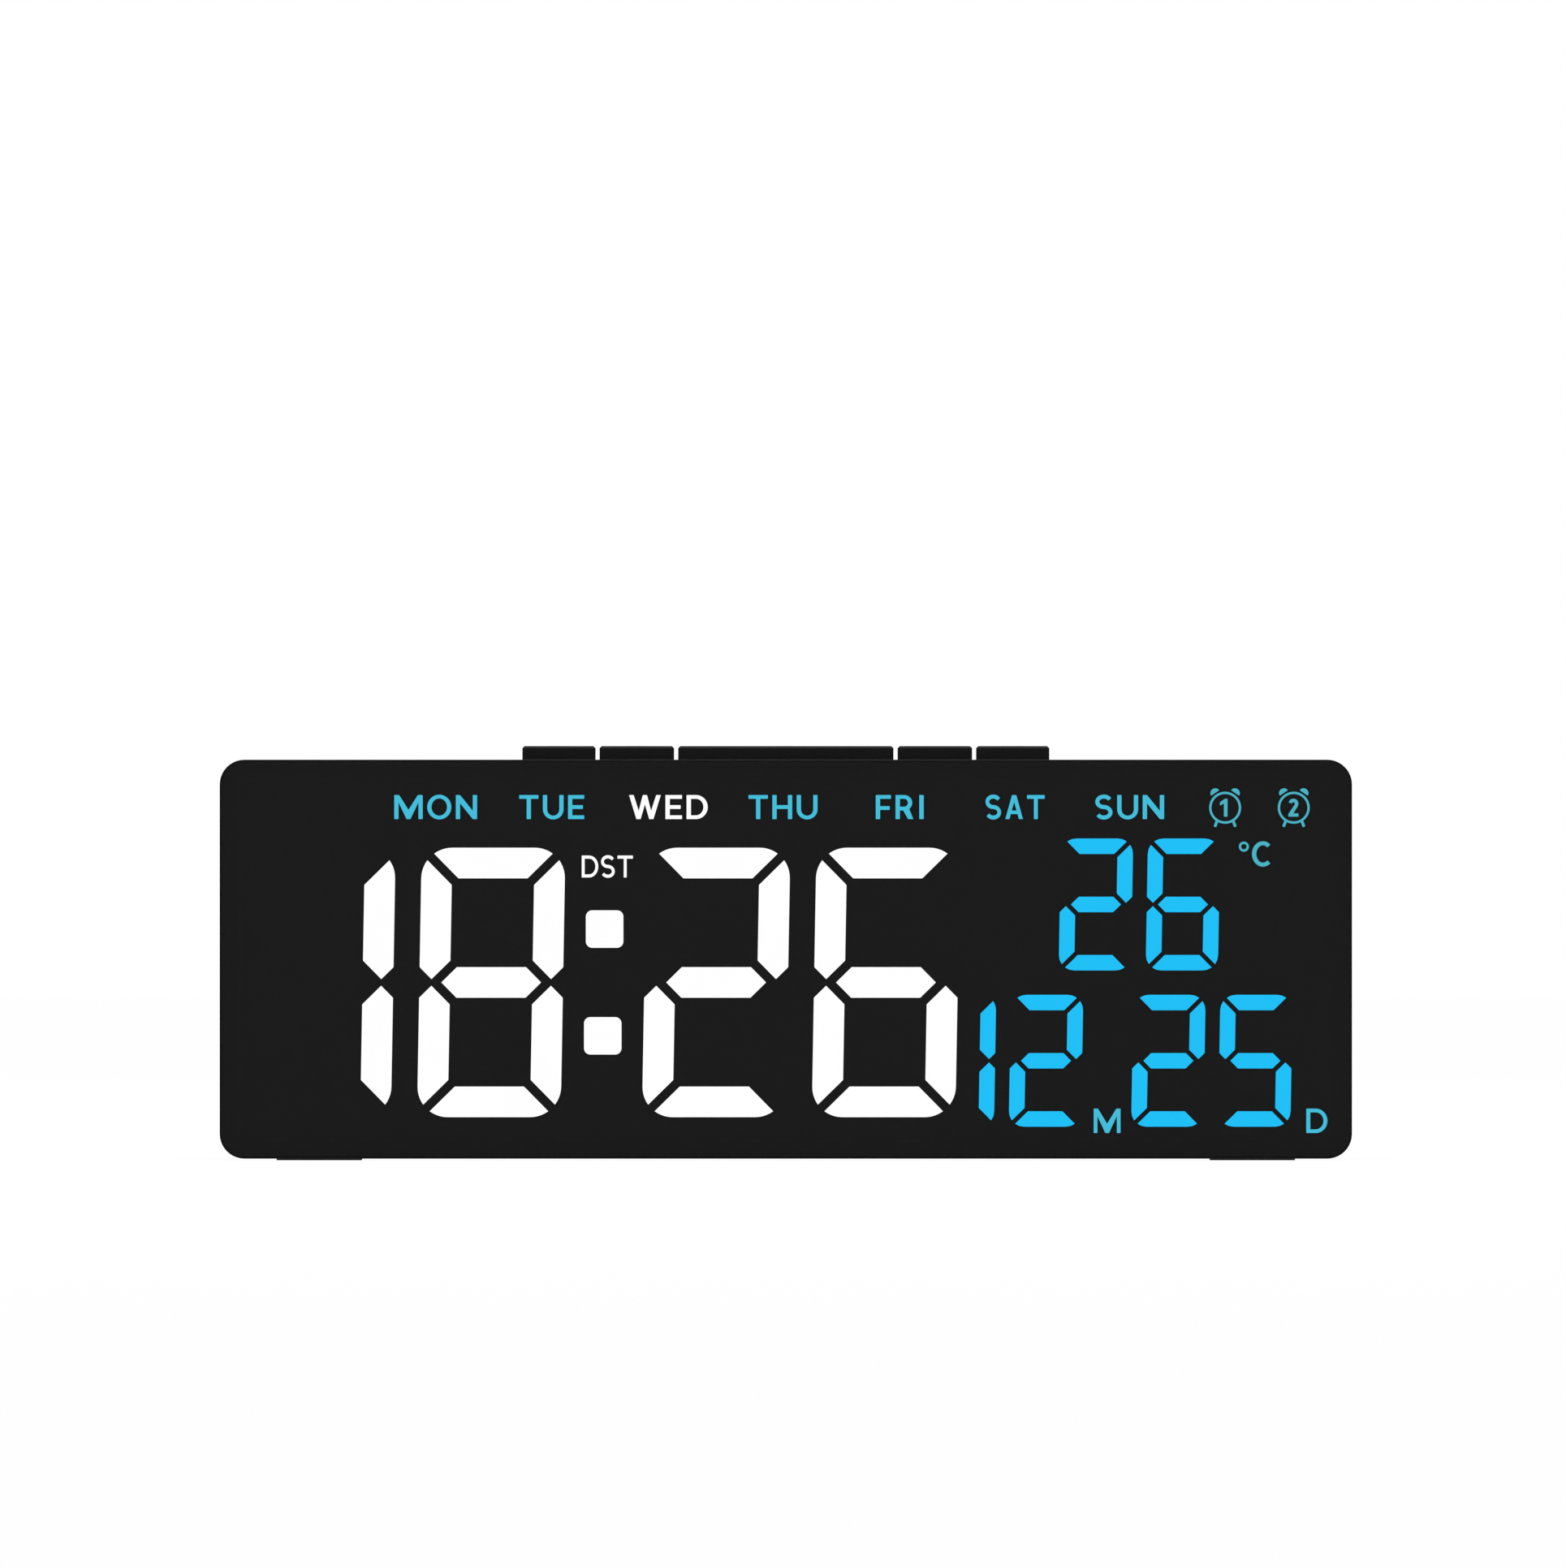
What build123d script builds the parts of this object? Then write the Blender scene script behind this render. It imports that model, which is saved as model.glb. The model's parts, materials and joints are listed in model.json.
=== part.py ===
from build123d import *

import os
from collections import namedtuple
from math import atan2, cos, pi, radians, sin, sqrt, tan

# Desk alarm clock: a segment display behind a smoked window, five push buttons on top,
# three cells behind a hinged door and a supply socket in the back.
# Millimetres. The origin is the middle of the footprint, on the table. +X is to the right seen
# from the front, +Y to the back, +Z up.

os.makedirs("parts", exist_ok=True)

# Display characters
big_w = 20.3
big_h = 38.1
big_stroke = 4.33
big_mitre = 1.32
small_w = 10.2
small_h = 18.65
small_stroke = 2.18
small_mitre = 0.67
digit_lean = 1.0
colon_side = 5.3
colon_radius = 0.9
colon_spacing = 15.1
caption_h = 3.4
segment_fit = 0.05

# Display layout: gaps between the characters and margins to the edges of the front
left_margin = 4.2
digit_gap = 3.7
colon_gap = 11.5
block_gap = 3.1
small_gap = 2.1
month_day_gap = 7.1
right_margin = 8.52
big_bottom_margin = 5.85
small_bottom_margin = 4.5
small_row_gap = 3.45
big_word_gap = 4.05
small_word_gap = 2.75
top_margin = 5.0
temperature_shift = 0.55

# Captions: day names, alarm marks, degree mark, summer time mark, month and day letters
day_count = 7
day_pitch = 16.35
day_row_shift = -0.45
day_well_wall = 2.0
caption_border = 0.6
alarm_pitch = 9.7
alarm_shift = 0.57
alarm_w = 4.5
alarm_h = 5.7
degree_w = 4.4
degree_gap = 2.75
degree_drop = 2.15
summer_w = 7.2
summer_drop = 2.7
letter_w = 3.8
letter_gap = 3.6
letter_base = 3.64

# Front
face_radius = 3.5
face_edge = 0.3
face_lift = 0.25
window_t = 2.0
film_gap = 0.15
film_t = 0.2
reflector_t = 7.0
insert_t = 1.2
frame_wall = 1.8
frame_fit = 0.15
ledge_w = 1.5
ledge_t = 1.8
board_t = 1.6
board_fit = 0.3

# Light sources on the display board
led_w = 1.6
led_h = 0.8
led_t = 0.9

# Parts on the back of the display board
component_room = 8.5
chip_w = 17.8
chip_h = 7.5
chip_t = 2.3
chip_lift = 0.2
chip_pins = 14
chip_pin_pitch = 1.27
chip_pin_w = 0.42
chip_pin_reach = 1.4
crystal_w = 11.0
crystal_h = 4.6
crystal_t = 3.5
crystal_gap = 5.0
sounder_d = 12.0
sounder_t = 6.5
sounder_hole_d = 2.0
sounder_x = -46.0
sounder_up = 2.0
capacitor_d = 6.3
capacitor_t = 7.2
capacitor_x = 46.0
sensor_d = 2.4
sensor_leg = 3.0
sensor_leg_side = 0.5
sensor_end_gap = 20.4
sensor_base_gap = 4.0

# Rear housing
housing_step = 0.6
wall = 2.0
back_edge = 2.5
edge_margin = 0.2
post_r = 3.0
post_floor = 1.6
sound_slot_count = 5
sound_slot_len = 11.0
sound_slot_w = 1.2
sound_slot_pitch = 2.4
vent_count = 5
vent_w = 1.2
vent_len = 8.0
vent_pitch = 2.6

# Self-tapping screws
screw_d = 1.7
screw_fit = 0.02
screw_len = 8.0
screw_head_d = 3.0
screw_head_t = 1.2
screw_hole_d = 2.0
tunnel_gap = 0.2
short_screw_len = 5.6
small_sides = 8
tunnel_sides = 24

# Rubber feet
foot_w = 12.0
foot_depth = 7.0
foot_t = 1.2
foot_fit = 0.1
foot_side = 14.0
foot_back = 7.0

# Battery bay and door
cell_d = 10.5
cell_len = 44.5
cell_nub_d = 3.8
cell_nub = 1.2
cell_fit = 0.3
cell_count = 3
contact_t = 0.4
contact_w = 7.0
spring_reach = 3.6
spring_w = 5.0
tab_w = 2.4
tab_out = 2.0
tab_fit = 0.1
bay_wall = 1.4
door_seat = 1.2
door_rim = 1.2
door_t = 2.0
door_fit = 0.2
hinge_pin_d = 1.0
hinge_pin_len = 0.9
hinge_fit = 0.15
latch_w = 8.0
latch_h = 0.8
grip_count = 3
grip_w = 14.0
grip_pitch = 1.6
grip_d = 0.8
grip_depth = 0.4
grip_top = 2.4
lead_d = 1.2
lead_run = 6.0
lead_sides = 6
lead_bend = 2.0

# Buttons, switches and the board that carries them
side_button_w = 10.35
inner_button_w = 10.55
snooze_button_w = 30.55
button_gap = 0.6
button_depth = 6.5
button_rise = 1.95
button_setback = 8.5
button_fit = 0.2
button_edge = 0.3
button_flange = 1.0
button_flange_t = 1.2
button_foot_d = 3.4
button_foot = 1.4
button_play = 0.05
button_travel = 0.5
plunger_d = 3.4
plunger_rise = 0.9
plunger_depth = 1.0
plunger_fit = 0.1
switch_side = 6.0
switch_h = 3.5
button_board_depth = 9.0
hanger_r = 2.2
hanger_gap = 2.0
pin_count = 6
pin_pitch = 2.54
pin_side = 0.64
header_side = 2.5

# Supply socket and its board
usb_x = 46.0
usb_w = 8.94
usb_h = 3.2
usb_len = 7.35
usb_shell_t = 0.3
usb_recess = 0.3
usb_fit = 0.2
usb_tongue_w = 6.7
usb_tongue_t = 0.7
usb_tongue_len = 4.6
power_board_t = 1.2
power_board_depth = 12.0
power_board_margin = 2.2
power_board_lift = 3.5
power_boss_r = 2.2
power_boss_gap = 0.6
power_lead_pitch = 4.0
power_lead_rise = 6.0

# Size of the front, summed from the display layout
face_w = (
    left_margin + 4 * big_w + 2 * digit_gap + colon_gap
    + block_gap + small_stroke + 3 * small_w + 2 * small_gap + month_day_gap + right_margin
)
big_top = big_bottom_margin + big_h
small_top = small_bottom_margin + 2 * small_h + small_row_gap
word_base = max(big_top + big_word_gap, small_top + small_word_gap)
face_h = word_base + caption_h + top_margin
face_mid_z = face_lift + face_h / 2
face_top_z = face_lift + face_h

# Depth, summed from the pieces between the window and the battery door
front_stack = window_t + film_gap + film_t + reflector_t
depth = front_stack + board_t + component_room + bay_wall + 2 * cell_fit + cell_d + door_t
front_y = -depth / 2
window_rear_y = front_y + window_t
film_front_y = window_rear_y + film_gap
film_rear_y = film_front_y + film_t
board_front_y = film_rear_y + reflector_t
board_rear_y = board_front_y + board_t
frame_rear_y = board_front_y + ledge_t
bay_front_y = board_rear_y + component_room
bay_floor_y = bay_front_y + bay_wall
cell_y = bay_floor_y + cell_fit + cell_d / 2
back_y = depth / 2
door_inner_y = back_y - door_t
back_inner_y = back_y - wall

# Outlines that follow the front, one inside the other
pocket_w = face_w - 2 * frame_wall
pocket_h = face_h - 2 * frame_wall
reflector_w = pocket_w - 2 * frame_fit
reflector_h = pocket_h - 2 * frame_fit
opening_w = pocket_w - 2 * ledge_w
opening_h = pocket_h - 2 * ledge_w
board_w = opening_w - 2 * board_fit
board_h = opening_h - 2 * board_fit
housing_w = face_w - 2 * housing_step
housing_h = face_h - 2 * housing_step
housing_radius = face_radius - housing_step
housing_d = back_y - frame_rear_y
housing_bottom_z = face_lift + housing_step
housing_top_z = face_top_z - housing_step
floor_z = housing_bottom_z + wall
ceiling_z = housing_top_z - wall

# Places of the characters
big_z = face_lift + big_bottom_margin + big_h / 2
date_z = face_lift + small_bottom_margin + small_h / 2
temperature_z = date_z + small_h + small_row_gap
caption_z = face_lift + word_base + caption_h / 2
hour_tens_x = -face_w / 2 + left_margin + big_w / 2
hour_units_x = hour_tens_x + big_w + digit_gap
colon_x = hour_units_x + (big_w + colon_gap) / 2
minute_tens_x = hour_units_x + big_w + colon_gap
minute_units_x = minute_tens_x + big_w + digit_gap
date_left_x = minute_units_x + big_w / 2 + block_gap
month_tens_x = date_left_x + small_stroke - small_w / 2
month_units_x = month_tens_x + small_w + small_gap
day_tens_x = month_units_x + small_w + month_day_gap
day_units_x = day_tens_x + small_w + small_gap
date_right_x = day_units_x + small_w / 2
temperature_x = (date_left_x + date_right_x) / 2 + temperature_shift
temperature_tens_x = temperature_x - (small_w + small_gap) / 2
temperature_units_x = temperature_x + (small_w + small_gap) / 2
month_letter_x = month_units_x + (small_w + month_day_gap) / 2
day_letter_x = date_right_x + letter_gap
letter_z = face_lift + letter_base + caption_h / 2
degree_x = temperature_units_x + small_w / 2 + degree_gap + degree_w / 2
degree_z = temperature_z + small_h / 2 - degree_drop
summer_z = big_z + big_h / 2 - summer_drop

# Screw posts stand where no character is: in the upper loop of the last day digit and between
# the alarm marks, and at the same places on the left
post_x = day_units_x
post_low_z = date_z + (small_h - small_stroke) / 4
post_spots = [(side * post_x, z) for side in (-1, 1) for z in (post_low_z, caption_z)]
screw_seat_y = board_rear_y + post_floor

# Battery bay
bay_w = cell_len + contact_t + spring_reach + contact_t
bay_h = cell_count * cell_d + (cell_count + 1) * cell_fit
door_w = bay_w + 2 * door_seat
door_h = bay_h + 2 * door_seat
recess_w = door_w + 2 * door_fit
recess_h = door_h + 2 * door_fit
bay_outer_w = recess_w + 2 * door_rim
bay_outer_h = recess_h + 2 * door_rim
bay_z = floor_z + bay_outer_h / 2
cell_pitch = cell_d + cell_fit
cell_z = [bay_z + (i - (cell_count - 1) / 2) * cell_pitch for i in range(cell_count)]
door_bottom_z = bay_z - door_h / 2
hinge_y = back_y - door_t / 2
hinge_z = door_bottom_z + door_t / 2

# Button stack, from the top wall down to the button board
button_y = frame_rear_y + button_setback
button_top_z = face_top_z + button_rise
flange_top_z = ceiling_z - button_play
flange_bottom_z = flange_top_z - button_flange_t
plunger_top_z = flange_bottom_z - button_foot
switch_top_z = plunger_top_z - plunger_rise
switch_bottom_z = switch_top_z - switch_h
button_board_z = switch_bottom_z - board_t
button_names = ["mode", "alarm", "snooze", "down", "up"]
button_widths = [side_button_w, inner_button_w, snooze_button_w, inner_button_w, side_button_w]
button_row_w = sum(button_widths) + (len(button_widths) - 1) * button_gap
button_x = []
row_edge = -button_row_w / 2
for button_w in button_widths:
    button_x.append(row_edge + button_w / 2)
    row_edge += button_w + button_gap
hanger_x = button_row_w / 2 + hanger_gap + hanger_r
button_board_w = 2 * (hanger_x + hanger_r)

# Supply socket
power_board_bottom_z = floor_z + power_board_lift
power_board_top_z = power_board_bottom_z + power_board_t
usb_z = power_board_top_z + usb_h / 2
usb_front_y = back_y - usb_recess - usb_len
power_boss_x = usb_w / 2 + power_boss_gap + screw_head_d / 2
power_board_w = 2 * (power_boss_x + power_board_margin)
power_board_rear_y = back_inner_y - board_fit
power_board_y = power_board_rear_y - power_board_depth / 2
power_boss_spots = [(usb_x + side * power_boss_x, power_board_y) for side in (-1, 1)]

# Segment characters
Style = namedtuple("Style", "w h stroke mitre")
Digit = namedtuple("Digit", "x z style lit fitted")
big = Style(big_w, big_h, big_stroke, big_mitre)
small = Style(small_w, small_h, small_stroke, small_mitre)
mirrored = {
    "a": (1, 1), "d": (1, -1), "g": (1, 1),
    "f": (1, 1), "e": (1, -1), "b": (-1, 1), "c": (-1, -1),
}
lit_for = {"1": "bc", "2": "abdeg", "5": "acdfg", "6": "acdefg", "8": "abcdefg"}
every = "abcdefg"
right_side = "bc"
time_digits = [
    Digit(hour_tens_x, big_z, big, lit_for["1"], every),
    Digit(hour_units_x, big_z, big, lit_for["8"], every),
    Digit(minute_tens_x, big_z, big, lit_for["2"], every),
    Digit(minute_units_x, big_z, big, lit_for["6"], every),
]
small_digits = [
    Digit(temperature_tens_x, temperature_z, small, lit_for["2"], every),
    Digit(temperature_units_x, temperature_z, small, lit_for["6"], every),
    Digit(month_tens_x, date_z, small, lit_for["1"], right_side),
    Digit(month_units_x, date_z, small, lit_for["2"], every),
    Digit(day_tens_x, date_z, small, lit_for["2"], every),
    Digit(day_units_x, date_z, small, lit_for["5"], every),
]
all_digits = time_digits + small_digits
lean = tan(radians(digit_lean))
colon_rise = colon_spacing / 2
colon_spots = [(colon_x + side * lean * colon_rise, big_z + side * colon_rise) for side in (-1, 1)]


def segment_face(digit, name, grow=0.0, rounded=False):
    """One segment of a digit as a face with mitred ends. Its outer corners are sharp or rounded:
    by an arc on a big digit, and on a small one by two chords of the arc."""
    half_w = digit.style.w / 2 + grow
    half_h = digit.style.h / 2 + grow
    stroke = digit.style.stroke + 2 * grow
    shift = (digit.style.mitre - 2 * grow) / sqrt(2)
    corner_x = -half_w + stroke
    corner_z = half_h - stroke
    reach = (shift + sqrt(2 * stroke**2 - shift**2)) / 2
    side_x, side_z = mirrored[name]

    def at(x, z):
        return (digit.x + side_x * x + lean * side_z * z, digit.z + side_z * z)

    def on_corner(angle, flip=1):
        return at(flip * (corner_x + stroke * cos(angle)), corner_z + stroke * sin(angle))

    def corner(begin, middle, finish):
        if digit.style is big:
            ThreePointArc(begin, middle, finish)
        else:
            Polyline(begin, middle, finish)

    inner_right = at(-corner_x - shift, corner_z)
    inner_left = at(corner_x + shift, corner_z)
    with BuildSketch() as shape:
        with BuildLine():
            if name == "g":
                tip = half_w - stroke / 2 - shift
                flat = tip - stroke / 2
                upper = [at(-tip, 0), at(-flat, stroke / 2), at(flat, stroke / 2)]
                lower = [at(tip, 0), at(flat, -stroke / 2), at(-flat, -stroke / 2)]
                Polyline(*upper, *lower, close=True)
            elif name in "ad" and rounded:
                cut = atan2(reach, shift - reach)
                middle = (cut + pi / 2) / 2
                corner(on_corner(cut), on_corner(middle), at(corner_x, half_h))
                Line(at(corner_x, half_h), at(-corner_x, half_h))
                corner(at(-corner_x, half_h), on_corner(middle, -1), on_corner(cut, -1))
                Polyline(on_corner(cut, -1), inner_right, inner_left, on_corner(cut))
            elif name in "ad":
                outer = [at(-half_w + shift, half_h), at(half_w - shift, half_h)]
                Polyline(*outer, inner_right, inner_left, close=True)
            else:
                notch = at(-half_w + stroke / 2 - shift / 2, shift / 2)
                inner_low = at(corner_x, stroke / 2 + shift)
                inner_high = at(corner_x, corner_z - shift)
                outer_low = at(-half_w, stroke / 2)
                ends = [outer_low, notch, inner_low, inner_high]
                if rounded:
                    cut = atan2(reach - shift, -reach)
                    middle = (cut + pi) / 2
                    corner(on_corner(cut), on_corner(middle), at(-half_w, corner_z))
                    Polyline(at(-half_w, corner_z), *ends, on_corner(cut))
                else:
                    Polyline(at(-half_w, half_h - shift), *ends, close=True)
        make_face()
    return shape.sketch.face()


def segment_faces(digits, grow=0.0, rounded=False, lit=None):
    """The fitted segments of some digits: all of them, the lit ones or the unlit ones."""
    return [
        segment_face(digit, name, grow, rounded)
        for digit in digits
        for name in digit.fitted
        if lit is None or (name in digit.lit) == lit
    ]


def led_spots(digit):
    """Where the light sources of a digit sit: one behind the middle of each segment."""
    half_w = (digit.style.w - digit.style.stroke) / 2
    half_h = (digit.style.h - digit.style.stroke) / 2
    middles = {
        "a": (0, half_h), "g": (0, 0), "d": (0, -half_h),
        "f": (-half_w, half_h / 2), "b": (half_w, half_h / 2),
        "e": (-half_w, -half_h / 2), "c": (half_w, -half_h / 2),
    }
    places = [middles[name] for name in digit.fitted]
    return [(digit.x + x + lean * z, digit.z + z) for x, z in places]


def caption_wells():
    """The rectangular light wells behind the words and marks: place and size of each."""
    border = 2 * caption_border
    row_h = caption_h + border
    wells = []
    for i in range(day_count):
        x = day_row_shift + (i - (day_count - 1) / 2) * day_pitch
        wells.append((x, caption_z, day_pitch - day_well_wall, row_h))
    for side in (-1, 1):
        x = day_units_x + alarm_shift + side * alarm_pitch / 2
        wells.append((x, caption_z, alarm_w, alarm_h))
    wells.append((degree_x, degree_z, degree_w, row_h))
    wells.append((colon_x, summer_z, summer_w + border, row_h))
    wells.append((month_letter_x, letter_z, letter_w, row_h))
    wells.append((day_letter_x, letter_z, letter_w, row_h))
    return wells


def small_round(radius, mode=Mode.ADD):
    """The section of a small round piece or hole, as a polygon."""
    return RegularPolygon(radius, small_sides, mode=mode)


def front_plane(y):
    """A plane that faces the front at depth y, with x along +X and y along +Z."""
    return Plane.XZ.offset(-y)


# Front window: the smoked plate over the whole front
with BuildPart() as front_window:
    with BuildSketch(front_plane(window_rear_y)):
        with Locations((0, face_mid_z)):
            RectangleRounded(face_w, face_h, face_radius)
    extrude(amount=window_t)
    chamfer(front_window.faces().sort_by(Axis.Y)[0].edges(), face_edge)
front_window.part.label = "front_window"
export_step(front_window.part, "parts/front_window.step")

# Front frame: the ring under the window, with a ledge that the light box rests on
foot_x = face_w / 2 - foot_side
front_foot_y = (window_rear_y + frame_rear_y) / 2
front_foot_spots = [(side * foot_x, front_foot_y) for side in (-1, 1)]
with BuildPart() as front_frame:
    with BuildSketch(front_plane(frame_rear_y)):
        with Locations((0, face_mid_z)):
            RectangleRounded(face_w, face_h, face_radius)
    extrude(amount=frame_rear_y - window_rear_y)
    with BuildSketch(front_plane(window_rear_y)):
        with Locations((0, face_mid_z)):
            Rectangle(pocket_w, pocket_h)
    extrude(amount=-(board_front_y - window_rear_y), mode=Mode.SUBTRACT)
    with BuildSketch(front_plane(board_front_y)):
        with Locations((0, face_mid_z)):
            Rectangle(opening_w, opening_h)
    extrude(amount=-ledge_t, mode=Mode.SUBTRACT)
    with BuildSketch(Plane.XY.offset(face_lift)):
        with Locations(*front_foot_spots):
            Rectangle(foot_w + 2 * foot_fit, foot_depth + 2 * foot_fit)
    extrude(amount=foot_t - face_lift, mode=Mode.SUBTRACT)
front_frame.part.label = "front_frame"
export_step(front_frame.part, "parts/front_frame.step")

# Display film: black, open at every segment
with BuildPart() as display_film:
    with BuildSketch(front_plane(film_rear_y)):
        with Locations((0, face_mid_z)):
            Rectangle(reflector_w, reflector_h)
        add(segment_faces(all_digits, rounded=True), mode=Mode.SUBTRACT)
        with Locations(*colon_spots):
            RectangleRounded(colon_side, colon_side, colon_radius, mode=Mode.SUBTRACT)
    extrude(amount=film_t)
display_film.part.label = "display_film"
export_step(display_film.part, "parts/display_film.step")

# Segment reflector: the light box with a well for each segment, word and mark
with BuildPart() as segment_reflector:
    with BuildSketch(front_plane(board_front_y)):
        with Locations((0, face_mid_z)):
            Rectangle(reflector_w, reflector_h)
        add(segment_faces(all_digits, segment_fit), mode=Mode.SUBTRACT)
        with Locations(*colon_spots):
            colon_well = colon_side + 2 * segment_fit
            Rectangle(colon_well, colon_well, mode=Mode.SUBTRACT)
        for x, z, well_w, well_h in caption_wells():
            with Locations((x, z)):
                Rectangle(well_w, well_h, mode=Mode.SUBTRACT)
    extrude(amount=reflector_t)
    with BuildSketch(front_plane(board_front_y)):
        with Locations(*post_spots):
            small_round(screw_d / 2 + screw_fit)
    extrude(amount=screw_len - post_floor - board_t + screw_fit, mode=Mode.SUBTRACT)
segment_reflector.part.label = "segment_reflector"
export_step(segment_reflector.part, "parts/segment_reflector.step")

# Lit white inserts: the time and its colon
with BuildPart() as time_segments:
    with BuildSketch(front_plane(film_rear_y + insert_t)):
        add(segment_faces(time_digits, lit=True))
        with Locations(*colon_spots):
            Rectangle(colon_side, colon_side)
    extrude(amount=insert_t)
time_segments.part.label = "time_segments"
export_step(time_segments.part, "parts/time_segments.step")

# Lit blue inserts: the temperature and the date
with BuildPart() as date_temperature_segments:
    with BuildSketch(front_plane(film_rear_y + insert_t)):
        add(segment_faces(small_digits, lit=True))
    extrude(amount=insert_t)
date_temperature_segments.part.label = "date_temperature_segments"
export_step(date_temperature_segments.part, "parts/date_temperature_segments.step")

# Inserts that are off at the time shown
with BuildPart() as unlit_segments:
    with BuildSketch(front_plane(film_rear_y + insert_t)):
        add(segment_faces(all_digits, lit=False))
    extrude(amount=insert_t)
unlit_segments.part.label = "unlit_segments"
export_step(unlit_segments.part, "parts/unlit_segments.step")

# Display board, behind the light box inside the ledge
with BuildPart() as display_board:
    with BuildSketch(front_plane(board_rear_y)):
        with Locations((0, face_mid_z)):
            Rectangle(board_w, board_h)
        with Locations(*post_spots):
            small_round(screw_hole_d / 2, mode=Mode.SUBTRACT)
    extrude(amount=board_t)
display_board.part.label = "display_board"
export_step(display_board.part, "parts/display_board.step")

# Light sources, one at the bottom of each well
led_y = board_front_y - led_t / 2
led_places = [spot for digit in all_digits for spot in led_spots(digit)]
led_places += colon_spots
led_places += [(x, z) for x, z, well_w, well_h in caption_wells()]
with BuildPart() as segment_leds:
    with Locations(*[(x, led_y, z) for x, z in led_places]):
        Box(led_w, led_t, led_h)
segment_leds.part.label = "segment_leds"
export_step(segment_leds.part, "parts/segment_leds.step")

# Driver chip with its two rows of flat pins
with BuildPart() as driver_chip:
    with Locations((0, board_rear_y + chip_lift + chip_t / 2, face_mid_z)):
        Box(chip_w, chip_t, chip_h)
    with Locations((0, board_rear_y + chip_lift / 2, face_mid_z)):
        with GridLocations(chip_pin_pitch, 1, chip_pins, 1):
            Box(chip_pin_w, chip_lift, chip_h + 2 * chip_pin_reach)
driver_chip.part.label = "driver_chip"
export_step(driver_chip.part, "parts/driver_chip.step")

# Quartz crystal in its flat can, beside the chip
crystal_x = chip_w / 2 + crystal_gap + crystal_w / 2
with BuildPart() as clock_crystal:
    with BuildSketch(front_plane(board_rear_y)):
        with Locations((crystal_x, face_mid_z)):
            Rectangle(crystal_w, crystal_h)
    extrude(amount=-crystal_t)
clock_crystal.part.label = "clock_crystal"
export_step(clock_crystal.part, "parts/clock_crystal.step")

# Smoothing capacitor
with BuildPart() as smoothing_capacitor:
    with BuildSketch(front_plane(board_rear_y)):
        with Locations((capacitor_x, face_mid_z)):
            Circle(capacitor_d / 2)
    extrude(amount=-capacitor_t)
smoothing_capacitor.part.label = "smoothing_capacitor"
export_step(smoothing_capacitor.part, "parts/smoothing_capacitor.step")

# Alarm sounder, open towards the sound slots in the back
sounder_z = face_mid_z + sounder_up
with BuildPart() as alarm_sounder:
    with BuildSketch(front_plane(board_rear_y)):
        with Locations((sounder_x, sounder_z)):
            Circle(sounder_d / 2)
    extrude(amount=-sounder_t)
    with BuildSketch(front_plane(board_rear_y + sounder_t)):
        with Locations((sounder_x, sounder_z)):
            small_round(sounder_hole_d / 2)
    extrude(amount=sounder_t / 2, mode=Mode.SUBTRACT)
alarm_sounder.part.label = "alarm_sounder"
export_step(alarm_sounder.part, "parts/alarm_sounder.step")

# Temperature sensor: a bead on two legs over the vent slots
sensor_x = board_w / 2 - sensor_end_gap
sensor_z = face_mid_z - board_h / 2 + sensor_base_gap
with BuildPart() as temperature_sensor:
    with BuildSketch(front_plane(board_rear_y + sensor_leg)):
        with Locations((sensor_x, sensor_z)):
            small_round(sensor_d / 2)
    extrude(amount=-sensor_d)
    with BuildSketch(front_plane(board_rear_y)):
        with Locations((sensor_x, sensor_z)):
            with GridLocations(sensor_d / 2, 1, 2, 1):
                Rectangle(sensor_leg_side, sensor_leg_side)
    extrude(amount=-sensor_leg)
temperature_sensor.part.label = "temperature_sensor"
export_step(temperature_sensor.part, "parts/temperature_sensor.step")

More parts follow.
